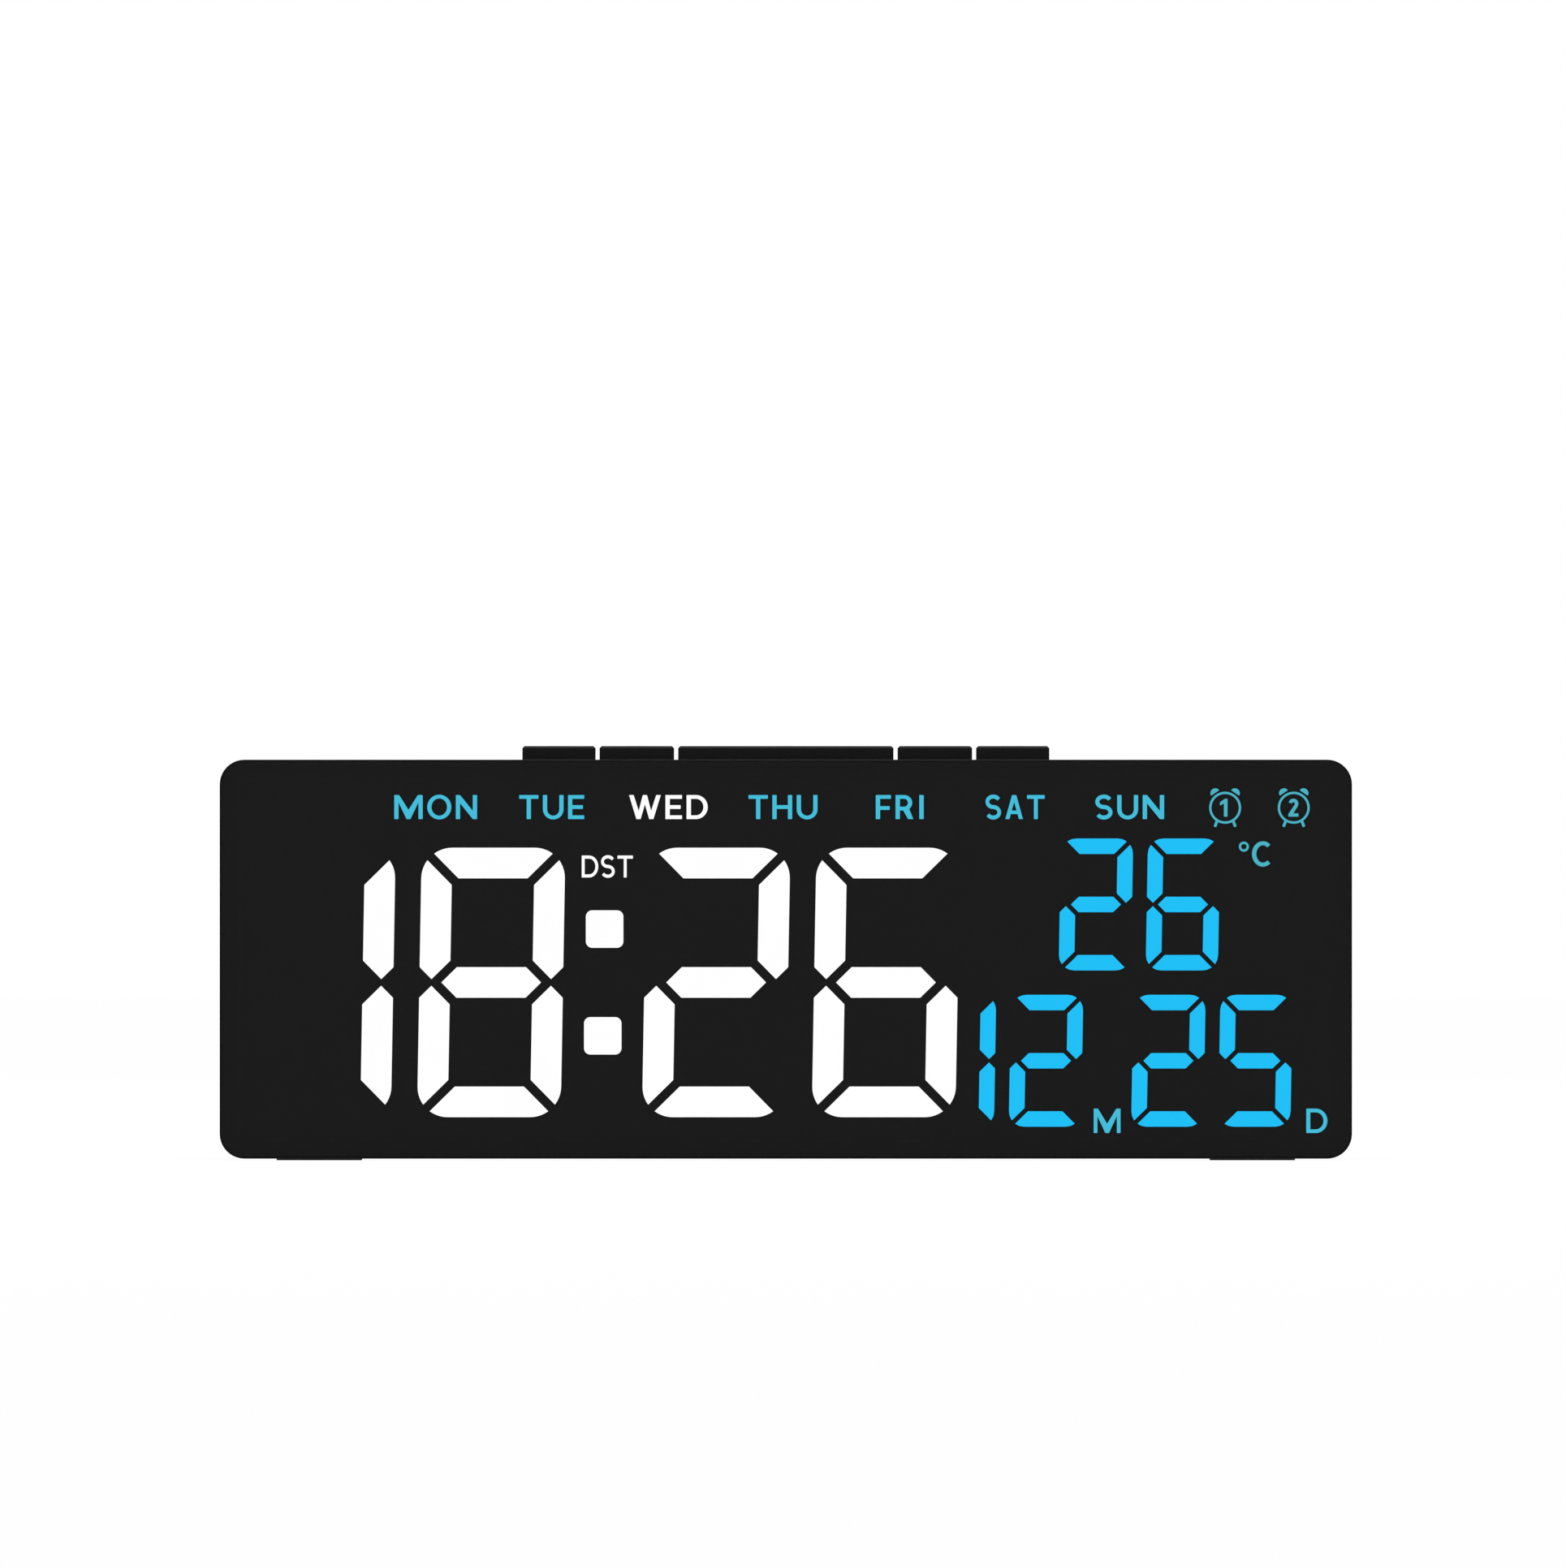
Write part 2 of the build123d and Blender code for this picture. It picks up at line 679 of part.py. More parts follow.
# Rear housing: a moulded tray with the battery bay, screw posts and board carriers
rear_foot_spots = [(side * foot_x, back_y - foot_back) for side in (-1, 1)]
tab_spots = [(1, cell_z[-1]), (-1, cell_z[0])]
tab_mid_x = (bay_w + bay_outer_w) / 4
with BuildPart() as rear_housing:
    with BuildSketch(front_plane(frame_rear_y)):
        with Locations((0, face_mid_z)):
            RectangleRounded(housing_w, housing_h, housing_radius)
    extrude(amount=-housing_d)
    back_fillet = min(back_edge, housing_radius - edge_margin)
    fillet(rear_housing.faces().sort_by(Axis.Y)[-1].edges(), back_fillet)
    with BuildSketch(front_plane(frame_rear_y)):
        with Locations((0, face_mid_z)):
            RectangleRounded(housing_w - 2 * wall, housing_h - 2 * wall, housing_radius - wall)
    extrude(amount=-(housing_d - wall), mode=Mode.SUBTRACT)

    # Walls of the battery bay, then its hollow and the seat of the door
    with Locations((0, (bay_front_y + back_inner_y) / 2, bay_z)):
        Box(bay_outer_w, back_inner_y - bay_front_y, bay_outer_h)
    with Locations((0, (bay_floor_y + back_y) / 2, bay_z)):
        Box(bay_w, back_y - bay_floor_y, bay_h, mode=Mode.SUBTRACT)
    with Locations((0, (door_inner_y + back_y) / 2, bay_z)):
        Box(recess_w, door_t, recess_h, mode=Mode.SUBTRACT)
    with Locations((0, (door_inner_y + back_y) / 2, bay_z + recess_h / 2)):
        Box(latch_w + 2 * door_fit, door_t, 2 * latch_h + 2 * hinge_fit, mode=Mode.SUBTRACT)
    with BuildSketch(Plane.YZ.offset(-recess_w / 2 - hinge_pin_len)):
        with Locations((hinge_y, hinge_z)):
            small_round(hinge_pin_d / 2 + hinge_fit)
    extrude(amount=recess_w + 2 * hinge_pin_len, mode=Mode.SUBTRACT)
    for side, z in tab_spots:
        with Locations((side * tab_mid_x, cell_y, z)):
            Box(
                (bay_outer_w - bay_w) / 2,
                contact_t + 2 * tab_fit,
                tab_w + 2 * tab_fit,
                mode=Mode.SUBTRACT,
            )

    # Screw posts with their tunnels from the back
    with BuildSketch(front_plane(board_rear_y)):
        with Locations(*post_spots):
            small_round(post_r)
    extrude(amount=-(back_inner_y - board_rear_y))
    with BuildSketch(front_plane(back_y)):
        with Locations(*post_spots):
            RegularPolygon(screw_head_d / 2 + tunnel_gap, tunnel_sides)
    extrude(amount=back_y - screw_seat_y, mode=Mode.SUBTRACT)
    with BuildSketch(front_plane(screw_seat_y)):
        with Locations(*post_spots):
            small_round(screw_hole_d / 2)
    extrude(amount=post_floor, mode=Mode.SUBTRACT)

    # Slot for the buttons and the two posts that the button board hangs on
    with BuildSketch(Plane.XY.offset(ceiling_z)):
        with Locations((0, button_y)):
            Rectangle(button_row_w + 2 * button_fit, button_depth + 2 * button_fit)
    extrude(amount=wall, mode=Mode.SUBTRACT)
    with BuildSketch(Plane.XY.offset(switch_bottom_z)):
        with Locations((-hanger_x, button_y), (hanger_x, button_y)):
            small_round(hanger_r)
    extrude(amount=ceiling_z - switch_bottom_z)
    with BuildSketch(Plane.XY.offset(switch_bottom_z)):
        with Locations((-hanger_x, button_y), (hanger_x, button_y)):
            small_round(screw_d / 2 + screw_fit)
    extrude(amount=short_screw_len - board_t + screw_fit, mode=Mode.SUBTRACT)

    # Bosses and opening of the supply socket
    with BuildSketch(Plane.XY.offset(floor_z)):
        with Locations(*power_boss_spots):
            small_round(power_boss_r)
    extrude(amount=power_board_lift)
    with BuildSketch(Plane.XY.offset(power_board_bottom_z)):
        with Locations(*power_boss_spots):
            small_round(screw_d / 2 + screw_fit)
    extrude(amount=-(short_screw_len - power_board_t + screw_fit), mode=Mode.SUBTRACT)
    with BuildSketch(front_plane(back_y)):
        with Locations((usb_x, usb_z)):
            SlotOverall(usb_w + 2 * usb_fit, usb_h + 2 * usb_fit)
    extrude(amount=wall, mode=Mode.SUBTRACT)

    # Sound slots, vent slots and the pockets of the rear feet
    with BuildSketch(front_plane(back_y)):
        with Locations((sounder_x, sounder_z)):
            with GridLocations(1, sound_slot_pitch, 1, sound_slot_count):
                Rectangle(sound_slot_len, sound_slot_w)
    extrude(amount=wall, mode=Mode.SUBTRACT)
    with BuildSketch(Plane.XY.offset(housing_bottom_z)):
        with Locations((sensor_x, frame_rear_y + wall + vent_len / 2)):
            with GridLocations(vent_pitch, 1, vent_count, 1):
                Rectangle(vent_w, vent_len)
    extrude(amount=wall, mode=Mode.SUBTRACT)
    with BuildSketch(Plane.XY.offset(housing_bottom_z)):
        with Locations(*rear_foot_spots):
            Rectangle(foot_w + 2 * foot_fit, foot_depth + 2 * foot_fit)
    extrude(amount=foot_t - housing_bottom_z, mode=Mode.SUBTRACT)
rear_housing.part.label = "rear_housing"
export_step(rear_housing.part, "parts/rear_housing.step")

# Case screws, through the posts and the display board into the light box
with BuildPart() as case_screws:
    with BuildSketch(front_plane(screw_seat_y)):
        with Locations(*post_spots):
            small_round(screw_head_d / 2)
    extrude(amount=-screw_head_t)
    with BuildSketch(front_plane(screw_seat_y)):
        with Locations(*post_spots):
            small_round(screw_d / 2)
    extrude(amount=screw_len)
case_screws.part.label = "case_screws"
export_step(case_screws.part, "parts/case_screws.step")

# Rubber feet, two in the frame and two in the housing
with BuildPart() as rubber_feet:
    with BuildSketch(Plane.XY):
        with Locations(*front_foot_spots, *rear_foot_spots):
            Rectangle(foot_w, foot_depth)
    extrude(amount=foot_t)
rubber_feet.part.label = "rubber_feet"
export_step(rubber_feet.part, "parts/rubber_feet.step")

# Button board, hung under the top wall
with BuildPart() as button_board:
    with BuildSketch(Plane.XY.offset(button_board_z)):
        with Locations((0, button_y)):
            Rectangle(button_board_w, button_board_depth)
        with Locations((-hanger_x, button_y), (hanger_x, button_y)):
            small_round(screw_hole_d / 2, mode=Mode.SUBTRACT)
    extrude(amount=board_t)
button_board.part.label = "button_board"
export_step(button_board.part, "parts/button_board.step")

# Screws of the button board, from below
with BuildPart() as button_board_screws:
    with BuildSketch(Plane.XY.offset(button_board_z)):
        with Locations((-hanger_x, button_y), (hanger_x, button_y)):
            small_round(screw_head_d / 2)
    extrude(amount=-screw_head_t)
    with BuildSketch(Plane.XY.offset(button_board_z)):
        with Locations((-hanger_x, button_y), (hanger_x, button_y)):
            small_round(screw_d / 2)
    extrude(amount=short_screw_len)
button_board_screws.part.label = "button_board_screws"
export_step(button_board_screws.part, "parts/button_board_screws.step")

# Bodies of the five switches, each with a well for its plunger
switch_spots = [(x, button_y) for x in button_x]
with BuildPart() as switch_bodies:
    with BuildSketch(Plane.XY.offset(switch_bottom_z)):
        with Locations(*switch_spots):
            Rectangle(switch_side, switch_side)
    extrude(amount=switch_h)
    with BuildSketch(Plane.XY.offset(switch_top_z)):
        with Locations(*switch_spots):
            small_round(plunger_d / 2 + plunger_fit)
    extrude(amount=-(plunger_depth + button_travel + plunger_fit), mode=Mode.SUBTRACT)
switch_bodies.part.label = "switch_bodies"
export_step(switch_bodies.part, "parts/switch_bodies.step")

# Header between the button board and the display board
header_y = button_y - button_board_depth / 2 + header_side / 2
header_z = button_board_z - header_side / 2
pin_run = header_y - header_side / 2 - board_rear_y
with BuildPart() as board_link_header:
    with Locations((0, header_y, header_z)):
        Box(pin_count * pin_pitch, header_side, header_side)
    with Locations((0, board_rear_y + pin_run / 2, header_z)):
        with GridLocations(pin_pitch, 1, pin_count, 1):
            Box(pin_side, pin_run, pin_side)
board_link_header.part.label = "board_link_header"
export_step(board_link_header.part, "parts/board_link_header.step")

# Push buttons: a cap in the slot, a flange under the wall and a foot on the switch
for name, width, x in zip(button_names, button_widths, button_x):
    with BuildPart() as button:
        with BuildSketch(Plane.XY.offset(flange_top_z)):
            with Locations((x, button_y)):
                Rectangle(width, button_depth)
        extrude(amount=button_top_z - flange_top_z)
        chamfer(button.faces().sort_by(Axis.Z)[-1].edges(), button_edge)
        with BuildSketch(Plane.XY.offset(flange_top_z)):
            with Locations((x, button_y)):
                Rectangle(width, button_depth + 2 * button_flange)
        extrude(amount=-button_flange_t)
        with BuildSketch(Plane.XY.offset(flange_bottom_z)):
            with Locations((x, button_y)):
                small_round(button_foot_d / 2)
        extrude(amount=-button_foot)
    button.part.label = f"{name}_button"
    export_step(button.part, f"parts/{name}_button.step")

# Switch plungers, one under each button
for name, x in zip(button_names, button_x):
    with BuildPart() as plunger:
        with BuildSketch(Plane.XY.offset(plunger_top_z)):
            with Locations((x, button_y)):
                small_round(plunger_d / 2)
        extrude(amount=-(plunger_rise + plunger_depth))
    plunger.part.label = f"{name}_plunger"
    export_step(plunger.part, f"parts/{name}_plunger.step")

# Cells, one above the other, with their poles to alternate sides
with BuildPart() as battery_cells:
    for i, z in enumerate(cell_z):
        pole = 1 if i % 2 == 0 else -1
        nub_end_x = pole * (bay_w / 2 - contact_t)
        with BuildSketch(Plane.YZ.offset(nub_end_x - pole * cell_len)):
            with Locations((cell_y, z)):
                Circle(cell_d / 2)
        extrude(amount=pole * (cell_len - cell_nub))
        with BuildSketch(Plane.YZ.offset(nub_end_x - pole * cell_nub)):
            with Locations((cell_y, z)):
                small_round(cell_nub_d / 2)
        extrude(amount=pole * cell_nub)
battery_cells.part.label = "battery_cells"
export_step(battery_cells.part, "parts/battery_cells.step")

# Battery contacts: strips on the end walls, with a leaf spring at each negative pole
# and a tab through the wall at the two free ends of the row
with BuildPart() as battery_contacts:
    for side, low, high in [(-1, 0, 0), (1, 0, 1), (-1, 1, 2), (1, 2, 2)]:
        strip_h = cell_z[high] - cell_z[low] + contact_w
        with Locations((side * (bay_w - contact_t) / 2, cell_y, (cell_z[low] + cell_z[high]) / 2)):
            Box(contact_t, contact_w, strip_h)
    for i, z in enumerate(cell_z):
        side = -1 if i % 2 == 0 else 1
        base_x = side * (bay_w - contact_t) / 2
        tip_x = base_x - side * (spring_reach - contact_t / 2)
        end_x = base_x - side * spring_reach / 3
        with BuildSketch(Plane.XY.offset(z - spring_w / 2)):
            with BuildLine():
                Polyline(
                    (base_x, cell_y + contact_w / 2 - contact_t),
                    (tip_x, cell_y),
                    (end_x, cell_y - contact_w / 3),
                )
            trace(line_width=contact_t)
        extrude(amount=spring_w)
    for side, z in tab_spots:
        tab_len = (bay_outer_w - bay_w) / 2 + tab_out
        with Locations((side * (bay_w / 2 + tab_len / 2), cell_y, z)):
            Box(tab_len, contact_t, tab_w)
battery_contacts.part.label = "battery_contacts"
export_step(battery_contacts.part, "parts/battery_contacts.step")

# Battery leads, from the free tabs to the display board
for name, (side, z) in zip(["positive", "negative"], tab_spots):
    tab_x = side * (bay_outer_w / 2 + tab_out)
    turn_x = tab_x + side * lead_run
    with BuildPart() as lead:
        with BuildLine() as lead_path:
            Polyline(
                (tab_x, cell_y, z),
                (turn_x - side * lead_bend, cell_y, z),
                (turn_x, cell_y - lead_bend, z),
                (turn_x, board_rear_y, z),
            )
        with BuildSketch(Plane(origin=(tab_x, cell_y, z), z_dir=(side, 0, 0))):
            RegularPolygon(lead_d / 2, lead_sides)
        sweep(path=lead_path.line, transition=Transition.RIGHT)
    lead.part.label = f"battery_lead_{name}"
    export_step(lead.part, f"parts/battery_lead_{name}.step")

# Battery door: a plate with a round lower edge, hinge pins at its ends and a latch nib on top
with BuildPart() as battery_door:
    with BuildSketch(Plane.YZ.offset(-door_w / 2)):
        with Locations((hinge_y, hinge_z)):
            Circle(door_t / 2)
            Rectangle(door_t, door_h - door_t / 2, align=(Align.CENTER, Align.MIN))
    extrude(amount=door_w)
    with BuildSketch(Plane.YZ.offset(-door_w / 2 - hinge_pin_len)):
        with Locations((hinge_y, hinge_z)):
            Circle(hinge_pin_d / 2)
    extrude(amount=door_w + 2 * hinge_pin_len)
    with Locations((0, door_inner_y + door_t / 4, door_bottom_z + door_h + latch_h / 2)):
        Box(latch_w, door_t / 2, latch_h)
    with BuildSketch(front_plane(back_y)):
        with Locations((0, door_bottom_z + door_h - grip_top - (grip_count - 1) * grip_pitch / 2)):
            with GridLocations(1, grip_pitch, 1, grip_count):
                Rectangle(grip_w, grip_d)
    extrude(amount=grip_depth, mode=Mode.SUBTRACT)
battery_door.part.label = "battery_door"
export_step(battery_door.part, "parts/battery_door.step")

# Power board on its two bosses
with BuildPart() as power_board:
    with BuildSketch(Plane.XY.offset(power_board_bottom_z)):
        with Locations((usb_x, power_board_y)):
            Rectangle(power_board_w, power_board_depth)
        with Locations(*power_boss_spots):
            small_round(screw_hole_d / 2, mode=Mode.SUBTRACT)
    extrude(amount=power_board_t)
power_board.part.label = "power_board"
export_step(power_board.part, "parts/power_board.step")

# Screws of the power board, from above
with BuildPart() as power_board_screws:
    with BuildSketch(Plane.XY.offset(power_board_top_z)):
        with Locations(*power_boss_spots):
            small_round(screw_head_d / 2)
    extrude(amount=screw_head_t)
    with BuildSketch(Plane.XY.offset(power_board_top_z)):
        with Locations(*power_boss_spots):
            small_round(screw_d / 2)
    extrude(amount=-short_screw_len)
power_board_screws.part.label = "power_board_screws"
export_step(power_board_screws.part, "parts/power_board_screws.step")

# Supply socket: a flat oval shell, closed at its inner end
with BuildPart() as usb_shell:
    with BuildSketch(front_plane(usb_front_y)):
        with Locations((usb_x, usb_z)):
            SlotOverall(usb_w, usb_h)
    extrude(amount=-usb_len)
    with BuildSketch(front_plane(back_y - usb_recess)):
        with Locations((usb_x, usb_z)):
            SlotOverall(usb_w - 2 * usb_shell_t, usb_h - 2 * usb_shell_t)
    extrude(amount=usb_len - usb_shell_t, mode=Mode.SUBTRACT)
usb_shell.part.label = "usb_shell"
export_step(usb_shell.part, "parts/usb_shell.step")

# Contact tongue inside the socket
with BuildPart() as usb_tongue:
    with Locations((usb_x, usb_front_y + usb_shell_t + usb_tongue_len / 2, usb_z)):
        Box(usb_tongue_w, usb_tongue_len, usb_tongue_t)
usb_tongue.part.label = "usb_tongue"
export_step(usb_tongue.part, "parts/usb_tongue.step")

# Power leads, from the power board up and forward to the display board
power_lead_y = power_board_rear_y - power_board_depth + lead_d
power_lead_top_z = power_board_top_z + power_lead_rise
with BuildPart() as power_leads:
    for side in (-1, 1):
        x = usb_x + side * power_lead_pitch / 2
        with BuildLine() as lead_path:
            Polyline(
                (x, power_lead_y, power_board_top_z),
                (x, power_lead_y, power_lead_top_z - lead_bend),
                (x, power_lead_y - lead_bend, power_lead_top_z),
                (x, board_rear_y, power_lead_top_z),
            )
        with BuildSketch(Plane.XY.offset(power_board_top_z)):
            with Locations((x, power_lead_y)):
                RegularPolygon(lead_d / 2, lead_sides)
        sweep(path=lead_path.line, transition=Transition.RIGHT)
power_leads.part.label = "power_leads"
export_step(power_leads.part, "parts/power_leads.step")

print(f"overall {face_w:.2f} x {depth:.2f} x {button_top_z:.2f} mm")
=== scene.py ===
"""Looks of a desk alarm clock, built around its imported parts."""

import json
from math import atan2, cos, pi, radians, sin

import bmesh
import bpy
from mathutils import Matrix, Vector


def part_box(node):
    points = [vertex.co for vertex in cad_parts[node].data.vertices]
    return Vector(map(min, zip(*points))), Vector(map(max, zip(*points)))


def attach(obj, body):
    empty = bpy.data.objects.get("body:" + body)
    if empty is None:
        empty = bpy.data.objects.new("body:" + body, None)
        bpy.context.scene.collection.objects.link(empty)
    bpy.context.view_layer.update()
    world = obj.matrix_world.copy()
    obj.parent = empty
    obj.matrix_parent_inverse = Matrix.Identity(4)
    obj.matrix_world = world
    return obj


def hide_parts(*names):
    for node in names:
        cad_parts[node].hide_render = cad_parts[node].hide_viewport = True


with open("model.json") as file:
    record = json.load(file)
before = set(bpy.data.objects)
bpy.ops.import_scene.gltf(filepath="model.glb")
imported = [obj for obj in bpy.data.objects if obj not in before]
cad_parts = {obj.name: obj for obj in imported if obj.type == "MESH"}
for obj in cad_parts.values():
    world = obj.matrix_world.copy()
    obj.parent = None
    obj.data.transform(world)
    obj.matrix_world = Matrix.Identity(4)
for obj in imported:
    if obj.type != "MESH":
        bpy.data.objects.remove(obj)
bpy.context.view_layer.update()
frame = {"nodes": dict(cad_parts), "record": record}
nodes = frame["nodes"]

# The photo: metres in a pixel, width in pixels, the face's place from its middle, camera distance
PIXEL = 0.0001147
PHOTO_W = 1929
FACE_DROP = 0.02476
FACE_SHIFT = 0.0004
CAMERA_AWAY = 4.0

# Lit colours, as linear light in front of the window
WHITE_LIGHT = (1.0, 1.0, 1.0)
DIGIT_BLUE = (0.003, 0.515, 0.931)
WORD_BLUE = (0.048, 0.497, 0.694)
SIGN_BLUE = (0.06, 0.43, 0.54)
WINDOW_SMOKE = 0.75
WINDOW_PASS = 1.0 - WINDOW_SMOKE

# The face's heights, and the front and the thickness of what is set on the film
window_low, window_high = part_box("front_window")
FACE_MID_Z = (window_low.z + window_high.z) / 2
FACE_BOTTOM = window_low.z
WORD_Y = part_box("display_film")[0].y
WORD_T = 0.00006

# Node groups shared by several finishes
VALUE = "NodeSocketFloat"
COLOUR = "NodeSocketColor"
MID_GREY = (0.5, 0.5, 0.5, 1.0)

# Detail and roughness of each noise
GRAIN_NOISE = (2.0, 0.6)
PATCH_NOISE = (3.0, 0.55)
LINE_NOISE = (3.0, 0.6)
TONE_NOISE = (3.0, 0.5)

# The range that most of a noise lies in
NOISE_LOW = 0.3
NOISE_HIGH = 0.7


def new_group(name, inputs, outputs):
    """A shader group with its named sockets, and the nodes at its inlet and outlet."""
    group = bpy.data.node_groups.new(name, "ShaderNodeTree")
    for label, kind, value in inputs:
        socket = group.interface.new_socket(label, in_out="INPUT", socket_type=kind)
        socket.default_value = value
    for label, kind in outputs:
        group.interface.new_socket(label, in_out="OUTPUT", socket_type=kind)
    inlet = group.nodes.new("NodeGroupInput")
    outlet = group.nodes.new("NodeGroupOutput")
    return group, inlet, outlet


def noise(tree, vector, scale, character):
    """A noise over the surface, with its scale from a socket."""
    detail, roughness = character
    node = tree.nodes.new("ShaderNodeTexNoise")
    node.inputs["Detail"].default_value = detail
    node.inputs["Roughness"].default_value = roughness
    tree.links.new(vector, node.inputs["Vector"])
    tree.links.new(scale, node.inputs["Scale"])
    return node.outputs["Fac"]


def spread(tree, value, low, high):
    """Maps the middle of a noise to the range between two sockets."""
    node = tree.nodes.new("ShaderNodeMapRange")
    node.inputs["From Min"].default_value = NOISE_LOW
    node.inputs["From Max"].default_value = NOISE_HIGH
    tree.links.new(value, node.inputs["Value"])
    tree.links.new(low, node.inputs["To Min"])
    tree.links.new(high, node.inputs["To Max"])
    return node.outputs["Result"]


def moulded_grain_group():
    """Fine spark-eroded grain of a moulded part, with soft patches of more and less gloss."""
    group, inlet, outlet = new_group(
        "Moulded grain",
        [
            ("Grains per metre", VALUE, 4000.0),
            ("Patches per metre", VALUE, 30.0),
            ("Gloss patch", VALUE, 0.4),
            ("Dull patch", VALUE, 0.5),
        ],
        [("Height", VALUE), ("Roughness", VALUE)],
    )
    place = group.nodes.new("ShaderNodeTexCoord").outputs["Object"]
    grain = noise(group, place, inlet.outputs["Grains per metre"], GRAIN_NOISE)
    patch = noise(group, place, inlet.outputs["Patches per metre"], PATCH_NOISE)
    rough = spread(group, patch, inlet.outputs["Gloss patch"], inlet.outputs["Dull patch"])
    group.links.new(grain, outlet.inputs["Height"])
    group.links.new(rough, outlet.inputs["Roughness"])
    return group


def drawn_metal_group():
    """Fine upright lines, as on rolled and drawn sheet metal."""
    group, inlet, outlet = new_group(
        "Drawn metal",
        [
            ("Lines per metre", VALUE, 9000.0),
            ("Stretch", VALUE, 0.04),
            ("Bright line", VALUE, 0.22),
            ("Dull line", VALUE, 0.4),
        ],
        [("Height", VALUE), ("Roughness", VALUE)],
    )
    place = group.nodes.new("ShaderNodeTexCoord").outputs["Object"]
    stretch = group.nodes.new("ShaderNodeCombineXYZ")
    stretch.inputs["X"].default_value = 1.0
    stretch.inputs["Y"].default_value = 1.0
    group.links.new(inlet.outputs["Stretch"], stretch.inputs["Z"])
    scaled = group.nodes.new("ShaderNodeVectorMath")
    scaled.operation = "MULTIPLY"
    group.links.new(place, scaled.inputs[0])
    group.links.new(stretch.outputs["Vector"], scaled.inputs[1])
    lines = noise(group, scaled.outputs["Vector"], inlet.outputs["Lines per metre"], LINE_NOISE)
    rough = spread(group, lines, inlet.outputs["Bright line"], inlet.outputs["Dull line"])
    group.links.new(lines, outlet.inputs["Height"])
    group.links.new(rough, outlet.inputs["Roughness"])
    return group


def tone_patches_group():
    """Soft patches of a darker and a lighter tone, as pigment and light never spread quite evenly."""
    group, inlet, outlet = new_group(
        "Tone patches",
        [
            ("Dark tone", COLOUR, MID_GREY),
            ("Light tone", COLOUR, MID_GREY),
            ("Patches per metre", VALUE, 60.0),
        ],
        [("Colour", COLOUR)],
    )
    place = group.nodes.new("ShaderNodeTexCoord").outputs["Object"]
    patch = noise(group, place, inlet.outputs["Patches per metre"], TONE_NOISE)
    mix = group.nodes.new("ShaderNodeMix")
    mix.data_type = "RGBA"
    group.links.new(patch, mix.inputs["Factor"])
    group.links.new(inlet.outputs["Dark tone"], mix.inputs["A"])
    group.links.new(inlet.outputs["Light tone"], mix.inputs["B"])
    group.links.new(mix.outputs["Result"], outlet.inputs["Colour"])
    return group


moulded_grain = moulded_grain_group()
drawn_metal = drawn_metal_group()
tone_patches = tone_patches_group()


# Finishes
def new_finish(name, color, specular=0.5, metallic=0.0):
    """A finish with its plain values set, and its shader."""
    finish = bpy.data.materials.new(name)
    finish.use_nodes = True
    shader = finish.node_tree.nodes["Principled BSDF"]
    shader.inputs["Base Color"].default_value = (*color, 1.0)
    shader.inputs["Specular IOR Level"].default_value = specular
    shader.inputs["Metallic"].default_value = metallic
    return finish, shader


def place_group(finish, group, values):
    """Places a shared group in a finish with the finish's own values."""
    node = finish.node_tree.nodes.new("ShaderNodeGroup")
    node.node_tree = group
    for label, value in values.items():
        node.inputs[label].default_value = value
    return node


def add_bump(finish, shader, height, depth, strength):
    """Bends the surface by a height."""
    bump = finish.node_tree.nodes.new("ShaderNodeBump")
    bump.inputs["Distance"].default_value = depth
    bump.inputs["Strength"].default_value = strength
    finish.node_tree.links.new(height, bump.inputs["Height"])
    finish.node_tree.links.new(bump.outputs["Normal"], shader.inputs["Normal"])


def tone(finish, socket, color, patchiness):
    """Lets a colour swing softly between a darker and a lighter tone."""
    swing, per_metre = patchiness
    dark = (*[c * (1.0 - swing) for c in color], 1.0)
    light = (*[min(1.0, c * (1.0 + swing)) for c in color], 1.0)
    values = {"Dark tone": dark, "Light tone": light, "Patches per metre": per_metre}
    patches = place_group(finish, tone_patches, values)
    finish.node_tree.links.new(patches.outputs["Colour"], socket)


# Grain of the moulded parts: grains per metre, depth in metres, and strength
FILM_GRAIN = (4000.0, 0.00001, 0.05)
FINE_GRAIN = (4000.0, 0.00002, 0.25)
CASE_GRAIN = (1700.0, 0.00011, 1.0)
BUTTON_GRAIN = (2600.0, 0.00004, 0.5)
RUBBER_GRAIN = (1500.0, 0.00008, 0.8)

# Depth in metres and strength of the drawing lines in metal
DRAWN_LINES = (0.000004, 0.15)

# Swing of each kind of finish's tone, and its patches per metre
MOULDED_TONE = (0.12, 60.0)
METAL_TONE = (0.06, 150.0)
LIT_TONE = (0.03, 90.0)
WINDOW_TONE = (0.1, 25.0)

# The lit diffusers and the window
DIFFUSER_DARK = (0.02, 0.02, 0.02)
DIFFUSER_MILK = {"Gloss patch": 0.55, "Dull patch": 0.65}
WINDOW_TINT = (0.003, 0.003, 0.003)
WINDOW_SPECULAR = 0.145
WINDOW_POLISH = {"Gloss patch": 0.06, "Dull patch": 0.1, "Patches per metre": 18.0}


def moulded(name, color, gloss, dull, grain=FINE_GRAIN, specular=0.5):
    """A moulded or coated finish: grain in the surface, soft patches of gloss and of tone."""
    per_metre, depth, strength = grain
    finish, shader = new_finish(name, color, specular)
    values = {"Grains per metre": per_metre, "Gloss patch": gloss, "Dull patch": dull}
    surface = place_group(finish, moulded_grain, values)
    finish.node_tree.links.new(surface.outputs["Roughness"], shader.inputs["Roughness"])
    add_bump(finish, shader, surface.outputs["Height"], depth, strength)
    tone(finish, shader.inputs["Base Color"], color, MOULDED_TONE)
    return finish


